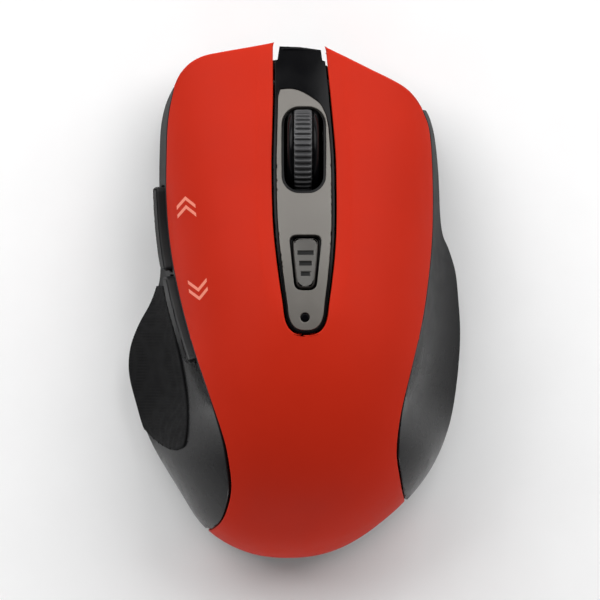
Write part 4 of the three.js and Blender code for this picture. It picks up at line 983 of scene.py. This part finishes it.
def thumb_outline(reach, grow):
    """A rounded block on the wall, as (place along the mouse, wall share)."""
    rear, front = reach[0] - grow, reach[1] + grow
    low, high = THUMB_DROPS[0] - grow, THUMB_DROPS[1] + grow
    plan = rounded_rectangle((rear, front), (low, high), THUMB_CORNER + grow)
    plan = resample(plan, 0.8)
    share = np.array([float(share_at_drop(y, -1, drop)) for y, drop in plan])
    return np.stack([plan[:, 0], WALL_SCALE * share], -1)


def pad_outline():
    """The grip's edge: along the wall above it, down to the lip, and round its rear corner."""
    inner = curve((-30.2, -24.0), (-29.6, -22.5), (-28.3, -21.85), (-24, -21.5), (-18.5, -21.8), (-12, -22.9),
                  (-6, -24.3), (-1.5, -25.4), (3, -26.5))
    y = np.concatenate([[-30.2], np.linspace(-29.9, -28, 8), np.arange(-27, PAD_FRONT, 1.0), [PAD_FRONT]])
    inward = np.stack([y, share_at_x(y, LEFT, inner(y))], -1)
    outer = curve((-30.2, -24.6), (-29.6, -25.9), (-28.6, -27.4), (-27, -29.2), (-25.2, -31))
    back = np.array([-25.6, -26.6, -27.6, -28.4, -29.0, -29.6, -30.0])
    outward = np.stack([back, share_at_x(back, LEFT, outer(back))], -1)
    edge = np.array([(PAD_FRONT, 1.0), (-25.0, 1.0)])
    return np.vstack([inward, edge, outward]) * np.array([1, WALL_SCALE])


def side_panels():
    black = FINISHES["side_black"]
    thumb_holes = [thumb_outline(FORWARD, 0.3), thumb_outline(BACK, 0.3)]
    walls = (("right", RIGHT, RIGHT_TIP_Y, []), ("left", LEFT, LEFT_TIP_Y, thumb_holes))
    for name, side, tip, holes in walls:
        outline = wall_outline(side, tip, PANEL_ENDS[side], PANEL_GAP)
        panel = mapped_shell(f"{name}_panel", black, wall_surface(side), outline, holes, spacing=0.75,
                             radius=0.22, outward=-side)
        settle(panel, "side_black", "base", f"{name}_side_panel")
    for name, reach in (("forward", FORWARD), ("back", BACK)):
        piece = mapped_shell(f"{name}_cap", black, wall_surface(LEFT, THUMB_LIFT), thumb_outline(reach, 0),
                             spacing=0.5, thickness=3.2, radius=0.6)
        settle(piece, "gloss_black", f"{name}_key", f"{name}_button")


def thumb_pad():
    pad = mapped_shell("grip_pad", PAD_RUBBER, wall_surface(LEFT, PAD_LIFT), pad_outline()[::-1],
                       thickness=1.2)
    settle(pad, "rubber", "base", "thumb_grip")


# ------------------------------------------------------------------ underside
def glide_feet():
    """The four feet, each a slab whose rounded face looks down."""
    for corner in ("front_left", "front_right", "rear_left", "rear_right"):
        low, high = (np.array(c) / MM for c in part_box(f"foot_{corner}"))
        outline = rounded_rectangle((low[0], high[0]), (low[1], high[1]), 0.48 * (high[1] - low[1]), 8)

        def surface(x, y, level=low[2]):
            return np.stack([x, y, np.full_like(x, level)], -1)

        piece = mapped_shell(f"glide_{corner}", FINISHES["foot_glide"], surface, outline, spacing=0.8,
                             thickness=high[2] - low[2], radius=0.2, outward=-1)
        settle(piece, "foot_glide", "base", f"foot_{corner}")


# ------------------------------------------------------------------ stage, lights and camera
def plain_stage():
    mesh = bpy.data.meshes.new("studio_floor")
    size = 3.0
    corners = [(-size, -size, 0), (size, -size, 0), (size, size, 0), (-size, size, 0)]
    mesh.from_pydata(corners, [], [(0, 1, 2, 3)])
    floor = bpy.data.objects.new("studio_floor", mesh)
    bpy.context.scene.collection.objects.link(floor)
    paper = finish("floor_paper", (0.93, 0.93, 0.93), 0.75, 0.03, grain=300, grain_strength=0.02, tint=0.01)
    mesh.materials.append(paper)


def area_light(name, place, target, size, power):
    data = bpy.data.lights.new(name, "AREA")
    data.shape = "RECTANGLE"
    data.size, data.size_y = size
    data.energy = power
    light = bpy.data.objects.new(name, data)
    light.location = place
    light.rotation_euler = (Vector(target) - Vector(place)).to_track_quat("-Z", "Y").to_euler()
    bpy.context.scene.collection.objects.link(light)


WORLD_STRENGTH, KEY_WATTS, REAR_WATTS = 0.455, 16.2, 2.5
WORLD_LOW, WORLD_HIGH = 0.35, 0.8  # how far up, by direction, the sky is white, and from where it is dark


def studio():
    """Soft light from low down on all sides, and little from above, where the gloss would mirror it."""
    bpy.context.scene.view_settings.view_transform = "Standard"
    world = bpy.data.worlds.new("studio_world")
    bpy.context.scene.world = world
    world.use_nodes = True
    tree = world.node_tree
    place = tree.nodes.new("ShaderNodeTexCoord")
    split = tree.nodes.new("ShaderNodeSeparateXYZ")
    ramp = tree.nodes.new("ShaderNodeValToRGB")
    stops = ((WORLD_LOW, (1, 1, 1, 1)), (WORLD_HIGH, (0.05, 0.05, 0.055, 1)))
    for element, (position, colour) in zip(ramp.color_ramp.elements, stops):
        element.position, element.color = position, colour
    tree.links.new(place.outputs["Generated"], split.inputs[0])
    tree.links.new(split.outputs["Z"], ramp.inputs[0])
    background = next(n for n in tree.nodes if n.type == "BACKGROUND")
    tree.links.new(ramp.outputs[0], background.inputs["Color"])
    background.inputs["Strength"].default_value = WORLD_STRENGTH
    for name, side in (("left_key", LEFT), ("right_key", RIGHT)):
        area_light(name, (side * 0.68, 0.85, 0.78), (0, 0, 0.02), (1.3, 1.0), KEY_WATTS)
    area_light("rear_strip", (0.0, -0.8, 0.14), (0, -0.03, 0.02), (0.9, 0.12), REAR_WATTS)


EYE_HEIGHT = 3.6  # so far up that the mouse is seen almost without perspective
WAIST_Z, VIEW_WIDTH = 0.02, 0.1207  # the camera sees this width at this height
EYE_OFFSET = (0.0009, 0.0001)  # of the camera from the middle of the mouse


def camera():
    low, high = (np.array(c) for c in CAD_BOX)
    data = bpy.data.cameras.new("overhead")
    data.sensor_width = 36
    data.lens = data.sensor_width * (EYE_HEIGHT - WAIST_Z) / VIEW_WIDTH
    data.clip_end = 20
    eye = bpy.data.objects.new("overhead", data)
    middle = (low + high) / 2
    eye.location = (middle[0] + EYE_OFFSET[0], middle[1] + EYE_OFFSET[1], EYE_HEIGHT)
    bpy.context.scene.collection.objects.link(eye)
    bpy.context.scene.camera = eye


camera()
studio()
plain_stage()
palm()
key_half(LEFT)
key_half(RIGHT)
chevron("forward_mark", (-21.95, 19.05), 5)
chevron("back_mark", (-19.4, 1.9), 187)
centre_strip()
dpi_key()
wheel()
side_panels()
thumb_pad()
glide_feet()
